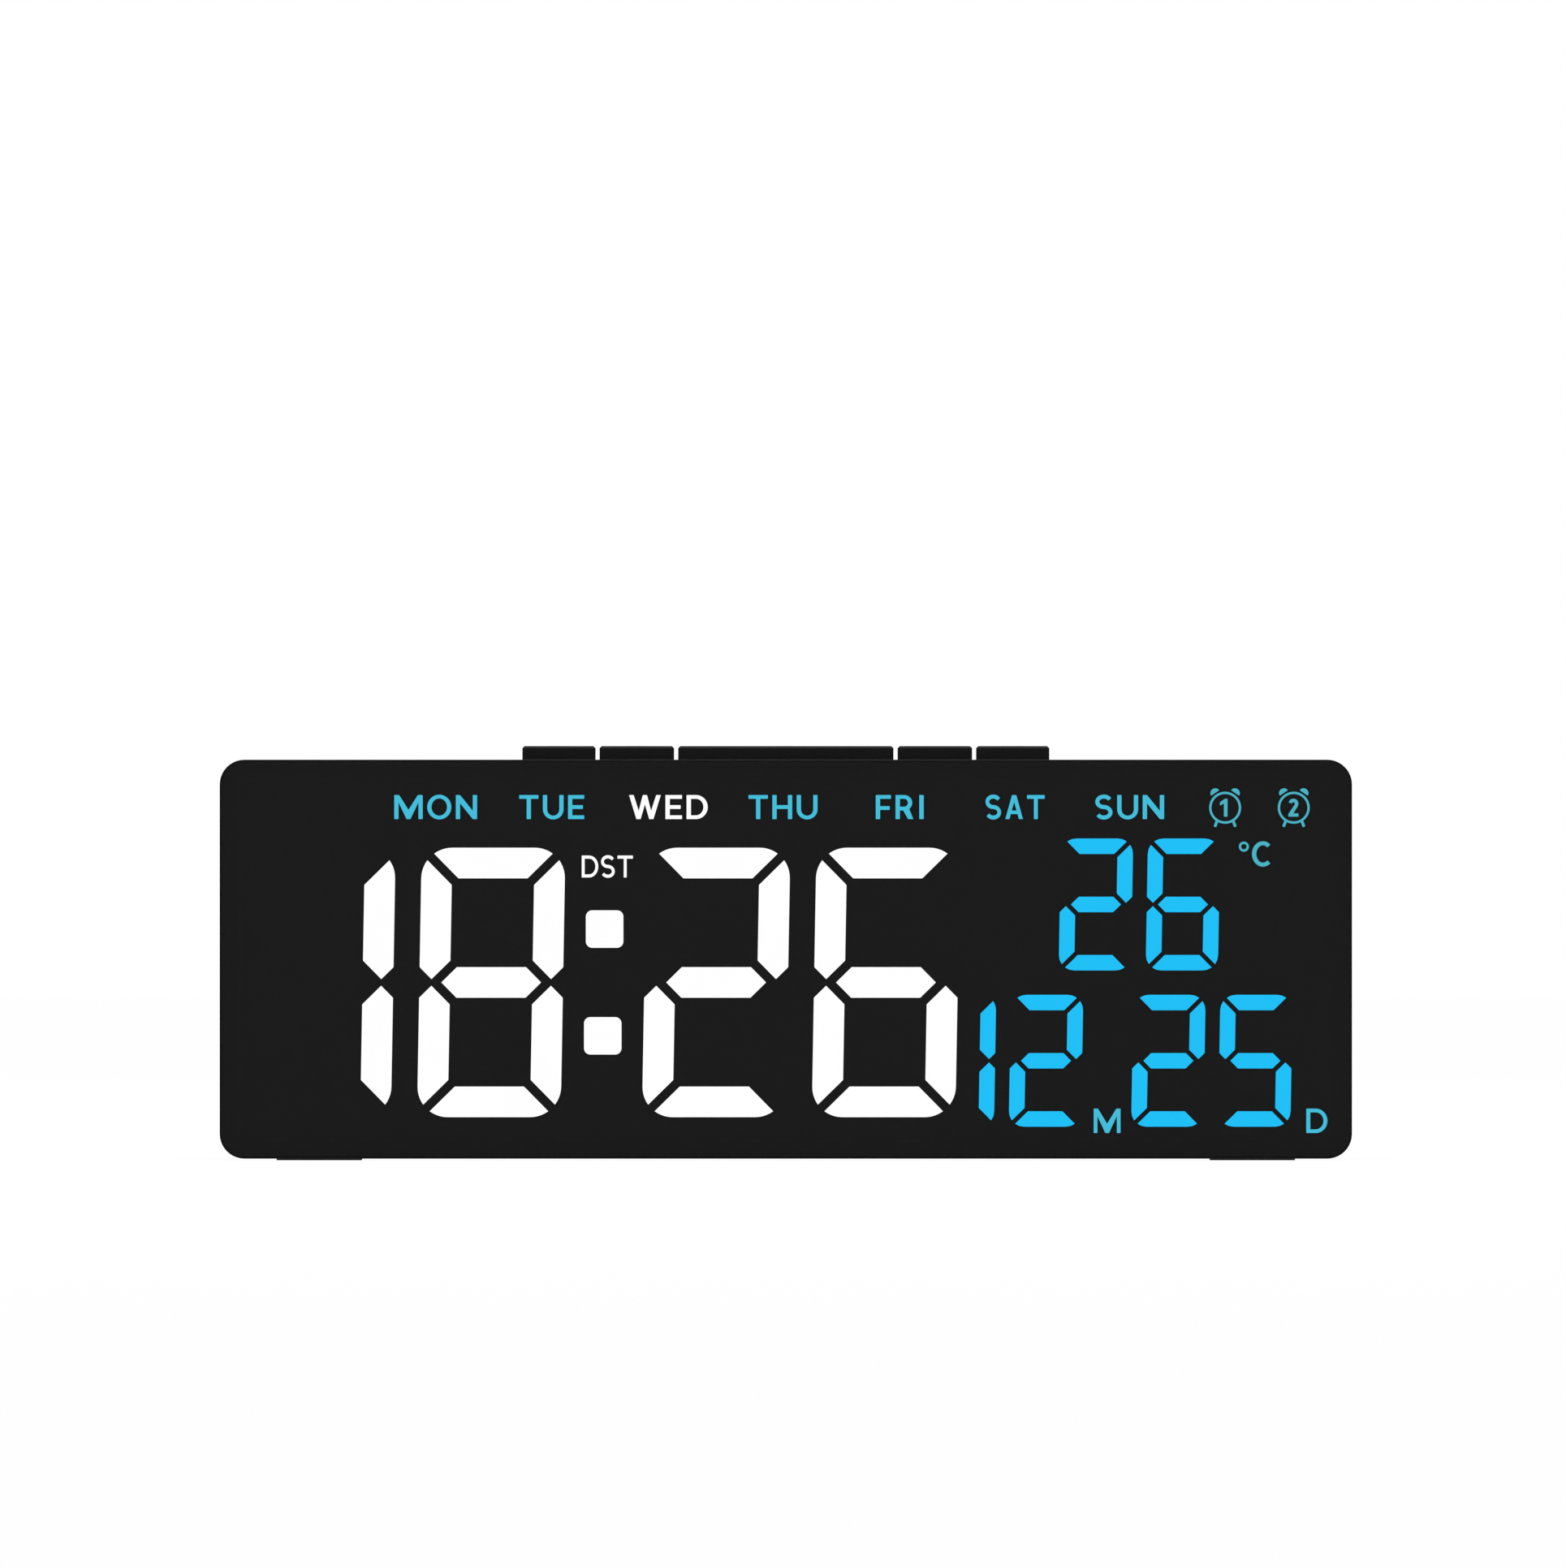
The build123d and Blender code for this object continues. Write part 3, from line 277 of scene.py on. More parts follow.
def metal(name, color, bright, dull):
    """Sheet metal with fine drawing lines."""
    finish, shader = new_finish(name, color, metallic=1.0)
    lines = place_group(finish, drawn_metal, {"Bright line": bright, "Dull line": dull})
    finish.node_tree.links.new(lines.outputs["Roughness"], shader.inputs["Roughness"])
    add_bump(finish, shader, lines.outputs["Height"], *DRAWN_LINES)
    tone(finish, shader.inputs["Base Color"], color, METAL_TONE)
    return finish


def lit(name, color):
    """A lit diffuser behind the window: its strength makes up for what the window takes."""
    peak = max(color)
    finish, shader = new_finish(name, DIFFUSER_DARK, specular=0.0)
    milky = place_group(finish, moulded_grain, DIFFUSER_MILK)
    finish.node_tree.links.new(milky.outputs["Roughness"], shader.inputs["Roughness"])
    tone(finish, shader.inputs["Emission Color"], [c / peak for c in color], LIT_TONE)
    shader.inputs["Emission Strength"].default_value = peak / WINDOW_PASS
    return finish


def window_plastic(name, smoke):
    """Polished clear plastic. Its smoke hides what isn't lit behind it."""
    finish, shader = new_finish(name, WINDOW_TINT, WINDOW_SPECULAR)
    shader.inputs["Alpha"].default_value = smoke
    gloss = place_group(finish, moulded_grain, WINDOW_POLISH)
    finish.node_tree.links.new(gloss.outputs["Roughness"], shader.inputs["Roughness"])
    tone(finish, shader.inputs["Base Color"], WINDOW_TINT, WINDOW_TONE)
    return finish


finishes = {
    # Colour, roughness of the glossy and of the dull patches, grain and specular level
    "smoked_window": window_plastic("smoked_window", WINDOW_SMOKE),
    "case_black": moulded("case_black", (0.007, 0.007, 0.007), 0.4, 0.52, CASE_GRAIN, 0.22),
    "film_black": moulded("film_black", (0.003, 0.003, 0.003), 0.6, 0.7, FILM_GRAIN, 0.1),
    "reflector_white": moulded("reflector_white", (0.75, 0.75, 0.74), 0.35, 0.45),
    "lit_white": lit("lit_white", WHITE_LIGHT),
    "lit_blue": lit("lit_blue", DIGIT_BLUE),
    "unlit_dark": moulded("unlit_dark", (0.003, 0.003, 0.003), 0.6, 0.7, FILM_GRAIN, 0.1),
    "board_green": moulded("board_green", (0.02, 0.12, 0.05), 0.3, 0.4),
    "led_yellow": moulded("led_yellow", (0.75, 0.62, 0.2), 0.3, 0.4),
    "part_black": moulded("part_black", (0.02, 0.02, 0.02), 0.45, 0.55),
    "bright_steel": metal("bright_steel", (0.7, 0.69, 0.67), 0.22, 0.32),
    "capacitor_can": metal("capacitor_can", (0.75, 0.75, 0.76), 0.25, 0.35),
    "sensor_bead": moulded("sensor_bead", (0.03, 0.02, 0.012), 0.3, 0.4),
    "foot_rubber": moulded("foot_rubber", (0.02, 0.02, 0.02), 0.75, 0.9, RUBBER_GRAIN, 0.3),
    "cell_jacket": moulded("cell_jacket", (0.03, 0.09, 0.16), 0.25, 0.35),
    "lead_red": moulded("lead_red", (0.45, 0.02, 0.015), 0.35, 0.45),
    "lead_black": moulded("lead_black", (0.015, 0.015, 0.015), 0.35, 0.45),
    "button_black": moulded("button_black", (0.005, 0.005, 0.005), 0.4, 0.5, BUTTON_GRAIN, 0.12),
    "plunger_white": moulded("plunger_white", (0.7, 0.7, 0.68), 0.4, 0.5),
}
lit_white = finishes["lit_white"]
word_blue = lit("lit_word_blue", WORD_BLUE)
sign_blue = lit("lit_sign_blue", SIGN_BLUE)
window_rear = window_plastic("window_rear", smoke=0.0)
window_edge = moulded("window_edge", (0.004, 0.004, 0.004), 0.5, 0.6, specular=0.05)
cell_band = moulded("cell_band", (0.5, 0.52, 0.53), 0.25, 0.35)
cell_mark = moulded("cell_mark", (0.02, 0.03, 0.05), 0.25, 0.35)
sign_print = moulded("sign_print", (0.5, 0.5, 0.5), 0.5, 0.6)

slot_of = {row["node"]: row["material_slot"] for row in frame["record"]["subparts"]}


def dress_nodes():
    """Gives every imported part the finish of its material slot."""
    for name, piece in nodes.items():
        piece.data.materials.clear()
        piece.data.materials.append(finishes[slot_of[name]])


dress_nodes()

# Shapes
MM = 0.001
ARC_STEPS = 14
CORNER_STEPS = 10
CIRCLE_STEPS = 36
SHARP_ANGLE = radians(35)
SOLID_WELD = 1e-6
PLATE_WELD = 1e-7


def arc(cx, cy, rx, ry, start, stop, steps=ARC_STEPS):
    """Points on an ellipse from one angle to another, in degrees."""
    turn = [radians(start + (stop - start) * i / steps) for i in range(steps + 1)]
    return [(cx + rx * cos(a), cy + ry * sin(a)) for a in turn]


def circle(cx, cy, radius, steps=CIRCLE_STEPS):
    return arc(cx, cy, radius, radius, 0, 360, steps)[:-1]


def rounded_rectangle(width, height, radius):
    across = width / 2 - radius
    up = height / 2 - radius
    corners = [(across, up, 0), (-across, up, 90), (-across, -up, 180), (across, -up, 270)]
    points = []
    for x, y, turn in corners:
        points += arc(x, y, radius, radius, turn, turn + 90, CORNER_STEPS)
    return points


def skin(shell, rings, bands, caps):
    """Adds a closed skin through rings of equal count, and gives its sides.

    Bands and caps give the number of each finish.
    """
    loops = [[shell.verts.new(point) for point in ring] for ring in rings]
    sides = []
    for near, far, finish_number in zip(loops, loops[1:], bands):
        for i, corner in enumerate(near):
            j = (i + 1) % len(near)
            face = shell.faces.new((corner, near[j], far[j], far[i]))
            face.smooth = True
            face.material_index = finish_number
            sides.append(face)
    for loop, finish_number in zip((loops[0], loops[-1]), caps):
        shell.faces.new(loop).material_index = finish_number
    return sides


def mesh_of(name, shell):
    """The mesh of a finished shell, with its faces turned outward and its corners crisp."""
    bmesh.ops.recalc_face_normals(shell, faces=shell.faces)
    mesh = bpy.data.meshes.new(name)
    shell.to_mesh(mesh)
    shell.free()
    mesh.set_sharp_from_angle(angle=SHARP_ANGLE)
    return mesh


def new_object(name, data):
    """A new object of the scene around a mesh, a curve, a lamp or a camera."""
    made = bpy.data.objects.new(name, data)
    bpy.context.scene.collection.objects.link(made)
    return made


def evaluated_mesh(made):
    """The mesh that a filled curve or a mesh with modifiers comes to."""
    bpy.context.view_layer.update()
    graph = bpy.context.evaluated_depsgraph_get()
    return bpy.data.meshes.new_from_object(made.evaluated_get(graph))


def add_piece(name, mesh, piece_finishes, body="case"):
    """Puts a mesh into the scene as a piece that rides on a body."""
    for finish in piece_finishes:
        mesh.materials.append(finish)
    piece = new_object(name, mesh)
    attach(piece, body)
    return piece


def solid_boxes(node):
    """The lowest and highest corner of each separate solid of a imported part."""
    loose = bmesh.new()
    loose.from_mesh(nodes[node].data)
    bmesh.ops.remove_doubles(loose, verts=loose.verts, dist=SOLID_WELD)
    waiting = set(loose.verts)
    boxes = []
    while waiting:
        front = [waiting.pop()]
        reached = []
        while front:
            vert = front.pop()
            reached.append(vert.co.copy())
            for edge in vert.link_edges:
                other = edge.other_vert(vert)
                if other in waiting:
                    waiting.remove(other)
                    front.append(other)
        low = Vector([min(co[i] for co in reached) for i in range(3)])
        high = Vector([max(co[i] for co in reached) for i in range(3)])
        boxes.append((low, high))
    loose.free()
    return sorted(boxes, key=lambda box: (box[0].z, box[0].x))


# The window: smoked in its front skin, with a black print round its rear and blackened edges
FACE_RADIUS = 3.5 * MM
PANE_ROUND = 0.3 * MM
PANE_ROUND_STEPS = 4
PANE_GAP = 0.02 * MM
PRINT_BORDER = 2.4 * MM
SMOKED, BLACKENED, CLEAR = 0, 1, 2


def window_pane():
    """The window's plate: a clear rear inside its print, and a smoked front with a rounded edge."""
    width = window_high.x - window_low.x
    height = window_high.z - window_low.z

    def ring(inset, y):
        outline = rounded_rectangle(width - 2 * inset, height - 2 * inset, FACE_RADIUS - inset)
        return [(x, y, FACE_MID_Z + z) for x, z in outline]

    rear = window_high.y - PANE_GAP
    rings = [ring(PRINT_BORDER, rear), ring(0.0, rear)]
    for inset, rise in arc(PANE_ROUND, 0.0, PANE_ROUND, PANE_ROUND, 180, 90, PANE_ROUND_STEPS):
        rings.append(ring(inset, window_low.y + PANE_ROUND - rise))
    shell = bmesh.new()
    skin(shell, rings, [BLACKENED] * (len(rings) - 1), (CLEAR, SMOKED))
    mesh = mesh_of("window_pane", shell)
    pane_finishes = [finishes["smoked_window"], window_edge, window_rear]
    pane = add_piece("window_pane", mesh, pane_finishes)
    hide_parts("front_window")


window_pane()

# The cells: a sleeve with a pale band at the positive end, plus and minus marks, and steel ends
JACKET, BAND, STEEL, MARK = 0, 1, 2, 3
CELL_SIDES = 80

# The marks in millimetres: their middles from the negative end, and half their length and width
PLUS_AT = 36.5
MINUS_AT = 5.0
MARK_REACH = 1.9
MARK_HALF = 0.4

CELL_SLEEVE = [
    # Millimetres from the negative end, share of the radius, and the finish up to the next ring
    (0.15, 0.6, STEEL), (0.15, 0.83, JACKET), (0.0, 0.86, JACKET), (0.0, 0.93, JACKET),
    (0.13, 0.977, JACKET), (0.45, 1.0, JACKET),
    (MINUS_AT - MARK_HALF, 1.0, JACKET), (MINUS_AT + MARK_HALF, 1.0, JACKET), (31.0, 1.0, BAND),
    (PLUS_AT - MARK_REACH, 1.0, BAND), (PLUS_AT - MARK_HALF, 1.0, BAND),
    (PLUS_AT + MARK_HALF, 1.0, BAND), (PLUS_AT + MARK_REACH, 1.0, BAND), (42.35, 1.0, BAND),
    (42.65, 0.97, BAND), (42.75, 0.9, BAND), (42.75, 0.84, STEEL), (42.5, 0.8, STEEL),
    (42.5, 0.5, STEEL), (42.8, 0.42, STEEL), (43.4, 0.362, STEEL), (44.3, 0.362, STEEL),
    (44.47, 0.33, STEEL), (44.5, 0.27, STEEL),
]


def mark_cell(sides, start, pole, middle, radius):
    """Gives the sides inside the plus and the minus their own finish. The marks face the door."""
    y, z = middle
    for face in sides:
        centre = face.calc_center_median()
        along = (centre.x - start) * pole / MM
        across = abs(atan2(centre.z - z, centre.y - y)) * radius / MM
        on_stroke = abs(along - PLUS_AT) < MARK_HALF and across < MARK_REACH
        on_post = abs(along - PLUS_AT) < MARK_REACH and across < MARK_HALF
        if on_stroke or on_post:
            face.material_index = MARK
        if abs(along - MINUS_AT) < MARK_HALF and across < MARK_REACH:
            face.material_index = BAND


def battery_cells():
    """The sleeved cells, laid in turn to the right and to the left."""
    shell = bmesh.new()
    for i, (low, high) in enumerate(solid_boxes("battery_cells")):
        radius = (high.z - low.z) / 2
        y = (low.y + high.y) / 2
        z = (low.z + high.z) / 2
        pole = 1 if i % 2 == 0 else -1
        start = low.x if pole > 0 else high.x
        rings = []
        for along, share, _ in CELL_SLEEVE:
            x = start + pole * along * MM
            rings.append([(x, y + u, z + v) for u, v in circle(0, 0, radius * share, CELL_SIDES)])
        bands = [finish_number for _, _, finish_number in CELL_SLEEVE[:-1]]
        sides = skin(shell, rings, bands, (STEEL, STEEL))
        mark_cell(sides, start, pole, (y, z), radius)
    mesh = mesh_of("sleeved_cells", shell)
    cell_finishes = [finishes["cell_jacket"], cell_band, finishes["bright_steel"], cell_mark]
    cells = add_piece("sleeved_cells", mesh, cell_finishes)
    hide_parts("battery_cells")


battery_cells()

# The case screws: pan heads with a cross recess
SCREW_HEAD_T = 1.2 * MM
SCREW_SIDES = 28
SCREW_PROFILE = [
    # Share of the length from the tip to the seat, share of the shank's radius
    (0.0, 0.2), (0.12, 0.9), (1.0, 0.9),
]
HEAD_PROFILE = [
    # Share of the head's height and of its radius
    (0.0, 0.96), (0.12, 1.0), (0.5, 1.0), (0.78, 0.9), (0.95, 0.7), (1.0, 0.5),
]

# Shares of the head's radius, and of its height for the depth
SHANK_SHARE = 0.57
CROSS_ARM = 0.58
CROSS_HALF = 0.17
CROSS_DEPTH = 0.65


def cross_outline(reach, half):
    """A cross whose arms have the given reach and half width."""
    quarter = [(half, half), (half, reach), (-half, reach)]
    points = []
    for _ in range(4):
        points += quarter
        quarter = [(-y, x) for x, y in quarter]
    return points


def cut_away(body_mesh, tool_mesh):
    """What is left of one mesh after another is cut out of it."""
    body = new_object("cut_body", body_mesh)
    tool = new_object("cut_tool", tool_mesh)
    cut = body.modifiers.new("cut", "BOOLEAN")
    cut.operation = "DIFFERENCE"
    cut.solver = "EXACT"
    cut.object = tool
    left = evaluated_mesh(body)
    for piece in (body, tool):
        bpy.data.objects.remove(piece)
    return left


def case_screws():
    """The screws, turned to their profile, with the crosses cut out of their heads."""
    shell = bmesh.new()
    cutter = bmesh.new()
    for low, high in solid_boxes("case_screws"):
        x = (low.x + high.x) / 2
        z = (low.z + high.z) / 2
        head = (high.x - low.x) / 2
        seat = high.y - SCREW_HEAD_T
        rings = []
        for along, share in SCREW_PROFILE:
            rings.append((low.y + (seat - low.y) * along, head * SHANK_SHARE * share))
        for along, share in HEAD_PROFILE:
            rings.append((seat + SCREW_HEAD_T * along, head * share))
        loops = [[(x + u, y, z + v) for u, v in circle(0, 0, r, SCREW_SIDES)] for y, r in rings]
        skin(shell, loops, [0] * (len(loops) - 1), (0, 0))
        cross = cross_outline(head * CROSS_ARM, head * CROSS_HALF)
        depths = (high.y - SCREW_HEAD_T * CROSS_DEPTH, high.y + SCREW_HEAD_T)
        skin(cutter, [[(x + u, y, z + v) for u, v in cross] for y in depths], [0], (0, 0))
    mesh = cut_away(mesh_of("screw_blanks", shell), mesh_of("screw_recesses", cutter))
    mesh.name = "case_screws_crossed"
    screws = add_piece("case_screws_crossed", mesh, [finishes["bright_steel"]])
    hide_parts("case_screws")


case_screws()

# Letters and signs. Outlines have a cap height of 1, and take a width, a stem and a bar.
STEM = 0.175
BAR = 0.155
OVERSHOOT = 0.015
OVAL_STEPS = 40
LETTER_GAP = 0.19
STEM_LEAD = 0.07


def ribbon(path, width):
    """The outline of a stroke of even width along a path."""
    left = []
    right = []
    for i, (x, y) in enumerate(path):
        x0, y0 = path[max(i - 1, 0)]
        x1, y1 = path[min(i + 1, len(path) - 1)]
        along = Vector((x1 - x0, y1 - y0)).normalized() * width / 2
        left.append((x - along.y, y + along.x))
        right.append((x + along.y, y - along.x))
    return left + right[::-1]


def letter_m(w, t, b):
    mid = w / 2
    top = t * 1.15
    valley = 0.38
    fork = 0.7
    foot = 0.08
    outer = [(0, 0), (0, 1), (top, 1), (mid, valley), (w - top, 1), (w, 1), (w, 0), (w - t, 0)]
    return [outer + [(w - t, fork), (mid + foot, 0), (mid - foot, 0), (t, fork), (t, 0)]]


def letter_o(w, t, b):
    high = 0.5 + OVERSHOOT
    outer = arc(w / 2, 0.5, w / 2, high, 0, 360, OVAL_STEPS)[:-1]
    inner = arc(w / 2, 0.5, w / 2 - t, high - b, 0, 360, OVAL_STEPS)[:-1]
    return [outer, inner]


def letter_n(w, t, b):
    rise = 0.34
    left = [(0, 0), (0, 1), (t, 1), (w - t, rise), (w - t, 1)]
    return [left + [(w, 1), (w, 0), (w - t, 0), (t, 1 - rise), (t, 0)]]


def letter_t(w, t, b):
    left = (w - t) / 2
    right = (w + t) / 2
    top = [(0, 1), (w, 1), (w, 1 - b), (right, 1 - b)]
    return [top + [(right, 0), (left, 0), (left, 1 - b), (0, 1 - b)]]


def letter_u(w, t, b):
    bend = 0.4
    deep = bend + OVERSHOOT
    outer = arc(w / 2, bend, w / 2, deep, 180, 360)
    inner = arc(w / 2, bend, w / 2 - t, deep - b, 360, 180)
    return [[(0, 1)] + outer + [(w, 1), (w - t, 1)] + inner + [(t, 1)]]


def stem_with_arms(w, t, b, middle):
    """The stem and the two upper arms that an E and an F share."""
    arm = w * 0.92
    up = middle + b / 2
    down = middle - b / 2
    top = [(0, 0), (0, 1), (w, 1), (w, 1 - b), (t, 1 - b)]
    return top + [(t, up), (arm, up), (arm, down), (t, down)]


def letter_e(w, t, b):
    middle = 0.5
    return [stem_with_arms(w, t, b, middle) + [(t, b), (w, b), (w, 0)]]


def letter_f(w, t, b):
    middle = 0.46
    return [stem_with_arms(w, t, b, middle) + [(t, 0)]]


def letter_w(w, t, b):
    mid = w / 2
    arm = t * 1.05
    valley = (0.395, 0.34)
    peak = 0.085
    crotch = 0.62
    feet = [(0.3, 0), (0.47, 0)]
    left = [(0, 1), (arm, 1), valley, (mid - peak, 1)]
    right = [(w - x, y) for x, y in left[::-1]]
    feet_right = [(w - x, y) for x, y in feet]
    return [left + right + feet_right + [(mid, crotch)] + feet[::-1]]


def letter_d(w, t, b):
    bend = w * 0.45
    outer = arc(bend, 0.5, w - bend, 0.5, 90, -90)
    inner = arc(bend, 0.5, w - bend - t, 0.5 - b, 90, -90)
    return [[(0, 0), (0, 1)] + outer, [(t, b), (t, 1 - b)] + inner]


def letter_h(w, t, b):
    up = 0.5 + b / 2
    down = 0.5 - b / 2
    top = [(0, 0), (0, 1), (t, 1), (t, up), (w - t, up), (w - t, 1), (w, 1), (w, 0), (w - t, 0)]
    return [top + [(w - t, down), (t, down), (t, 0)]]


def letter_r(w, t, b):
    low = 0.36
    mid = (1 + low) / 2
    bend = w * 0.5
    bowl_w = w * 0.96 - bend
    bowl_end = -52
    toe = w * 1.02
    heel = toe - t * 1.2
    knee = bend - 0.04
    bowl = arc(bend, mid, bowl_w, 1 - mid, 90, bowl_end)
    leg = [(toe, 0), (heel, 0), (knee, low), (t, low), (t, 0)]
    hole = arc(bend, mid, bowl_w - t, 1 - mid - b, 90, -90)
    return [[(0, 0), (0, 1)] + bowl + leg, [(t, low + b), (t, 1 - b)] + hole]


def letter_i(w, t, b):
    return [[(0, 0), (0, 1), (w, 1), (w, 0)]]


def letter_s(w, t, b):
    lobe = (1 + 2 * OVERSHOOT - b) / 4
    rx = (w - t) / 2
    tip = 28
    waist = 262
    steps = 18
    upper = arc(w / 2, 0.5 + lobe, rx, lobe, tip, waist, steps)
    lower = arc(w / 2, 0.5 - lobe, rx, lobe, waist - 180, tip - 180, steps)
    return [ribbon(upper + lower, (t + b) / 2)]


def letter_a(w, t, b):
    mid = w / 2
    top = t * 0.55
    lean = mid - top
    leg = t * 1.045
    bar_low = 0.21
    bar_high = bar_low + b * 0.92
    foot = [(0, 0), (mid - top, 1), (mid + top, 1), (w, 0), (w - leg, 0)]
    inner = lean * bar_low + leg
    outer = foot + [(w - inner, bar_low), (inner, bar_low), (leg, 0)]
    hole = lean * bar_high + leg
    apex = (mid - leg) / lean
    return [outer, [(hole, bar_high), (mid, apex), (w - hole, bar_high)]]


def letter_c(w, t, b):
    tip = 48
    steps = 30
    high = (1 + 2 * OVERSHOOT - b) / 2
    bow = arc(w / 2, 0.5, (w - t) / 2, high, tip, 360 - tip, steps)
    return [ribbon(bow, (t + b) / 2)]


def digit_1(w, t, b):
    flag = [(0, 0.62), (0, 0.8), (w - t * 0.75, 1)]
    under_flag = 0.74
    return [flag + [(w, 1), (w, 0), (w - t, 0), (w - t, under_flag)]]


def digit_2(w, t, b):
    bowl_z = 0.72
    bowl_start = 165
    bowl_end = -38
    steps = 16
    end = (t * 0.62, b * 0.75)
    heel = (end[0] + t * 0.75, b)
    foot = [(w, b), (w, 0), (0, 0), (0, b * 0.8)]
    bowl = arc(w / 2, bowl_z, (w - t) / 2, 1 - bowl_z - b / 2, bowl_start, bowl_end, steps)
    stroke = ribbon(bowl + [end], (t + b) / 2)
    half = len(stroke) // 2
    return [stroke[: half - 1] + [heel] + foot + stroke[half + 1:]]


letters = {
    # Each letter's outline and its width
    "M": (letter_m, 1.18), "O": (letter_o, 1.0), "N": (letter_n, 0.88), "T": (letter_t, 0.8),
    "U": (letter_u, 0.86), "E": (letter_e, 0.67), "W": (letter_w, 1.29), "D": (letter_d, 0.86),
    "H": (letter_h, 0.82), "F": (letter_f, 0.61), "R": (letter_r, 0.7), "I": (letter_i, STEM),
    "S": (letter_s, 0.72), "A": (letter_a, 0.8), "C": (letter_c, 0.82),
    "1": (digit_1, 0.42), "2": (digit_2, 0.56),
}


def word_outlines(word, x, z, cap, width, gap=LETTER_GAP, stem=STEM, bar=BAR):
    """The outlines of a word with its middle at x, z, stretched to the given width."""
    outlines = []
    cursor = 0.0
    for mark in word:
        draw, mark_w = letters[mark]
        if mark == "I":
            cursor += STEM_LEAD
        for outline in draw(mark_w, stem, bar):
            outlines.append([(cursor + u, v) for u, v in outline])
        cursor += mark_w + gap
    stretch = width / (cursor - gap)
    left = x - width / 2
    low = z - cap / 2
    return [[(left + u * stretch, low + v * cap) for u, v in outline] for outline in outlines]


def flat_piece(name, outlines, finish, stand, body="case"):
    """A thin plate in the given outlines. Stand places its rear face."""
    curve = bpy.data.curves.new(name, "CURVE")
    curve.dimensions = "2D"
    curve.fill_mode = "BOTH"
    curve.extrude = WORD_T / 2
    for outline in outlines:
        spline = curve.splines.new("POLY")
        spline.points.add(len(outline) - 1)
        for point, (x, y) in zip(spline.points, outline):
            point.co = (x, y, 0.0, 1.0)
        spline.use_cyclic_u = True
    drawn = new_object(name + "_curve", curve)
    filled = evaluated_mesh(drawn)
    bpy.data.objects.remove(drawn)
    bpy.data.curves.remove(curve)
    filled.transform(stand @ Matrix.Translation((0, 0, WORD_T / 2)))
    shell = bmesh.new()
    shell.from_mesh(filled)
    bpy.data.meshes.remove(filled)
    bmesh.ops.remove_doubles(shell, verts=shell.verts, dist=PLATE_WELD)
    return add_piece(name, mesh_of(name, shell), [finish], body)


# Words on the film, in millimetres: x from the middle of the face, z above its lower edge
ON_FILM = Matrix.Translation((0, WORD_Y, 0)) @ Matrix.Rotation(pi / 2, 4, "X")
DAY_ROW_Z = 49.7
DAY_CAP = 3.39
TODAY = "WED"

# The middle and the lower edge of the face in the photo
CENTRE_PX = 967.5
BOTTOM_PX = 1427.5


def px(length):
    """Pixels of the photo as millimetres."""
    return length * PIXEL / MM


def from_photo(x, y):
    """A place on the photographed face as millimetres on this one."""
    return px(x - CENTRE_PX), px(BOTTOM_PX - y)


def on_face(outlines):
    """Outlines in millimetres on the face as metres in the frame."""
    return [[(x * MM, FACE_BOTTOM + z * MM) for x, z in outline] for outline in outlines]


def film_word(name, word, place, size, finish, slot, **weights):
    """A lit word on the film, with the place of its middle, and its width and cap height."""
    x, z = place
    width, cap = size
    outlines = word_outlines(word, x, z, cap, width, **weights)
    flat_piece(name, on_face(outlines), finish, ON_FILM)


day_words = [
    # Name, middle in millimetres, and width in pixels of the photo
    ("MON", -49.5, 102), ("TUE", -33.1, 80), ("WED", -16.6, 97), ("THU", -0.4, 85),
    ("FRI", 16.1, 59), ("SAT", 32.4, 73), ("SUN", 48.6, 85),
]


def day_row():
    """The names of the days, with today's in white."""
    for word, x, width in day_words:
        today = word == TODAY
        finish = lit_white if today else word_blue
        slot = "lit_white" if today else "lit_blue"
        film_word("day_word_" + word.lower(), word, (x, DAY_ROW_Z), (px(width), DAY_CAP), finish, slot)


day_row()

SUMMER_WEIGHT = {"gap": 0.14, "stem": 0.15, "bar": 0.14}
LETTER_WEIGHT = {"stem": 0.16, "bar": 0.15}
DEGREE_WEIGHT = {"stem": 0.17, "bar": 0.15}
small_words = [
    # Name, letters, middle and size in pixels of the photo, finish, slot and weights
    ("summer_time_word", "DST", (747.5, 1067.5), (63, 27), lit_white, "lit_white", SUMMER_WEIGHT),
    ("month_letter", "M", (1363.5, 1381), (33, 30), word_blue, "lit_blue", LETTER_WEIGHT),
    ("day_letter", "D", (1622, 1381), (26, 30), word_blue, "lit_blue", LETTER_WEIGHT),
    ("degree_letter", "C", (1555.5, 1052), (27.4, 30), sign_blue, "lit_blue", DEGREE_WEIGHT),
]
RING_PLACE = (1532, 1043)
RING_RADII = (6.2, 3.4)


def lettering():
    """The small words beside the digits, and the ring of the degree sign."""
    for name, word, place, (width, cap), finish, slot, weights in small_words:
        film_word(name, word, from_photo(*place), (px(width), px(cap)), finish, slot, **weights)
    x, z = from_photo(*RING_PLACE)
    ring = [circle(x, z, px(radius)) for radius in RING_RADII]
    flat_piece("degree_ring", on_face(ring), sign_blue, ON_FILM)


lettering()

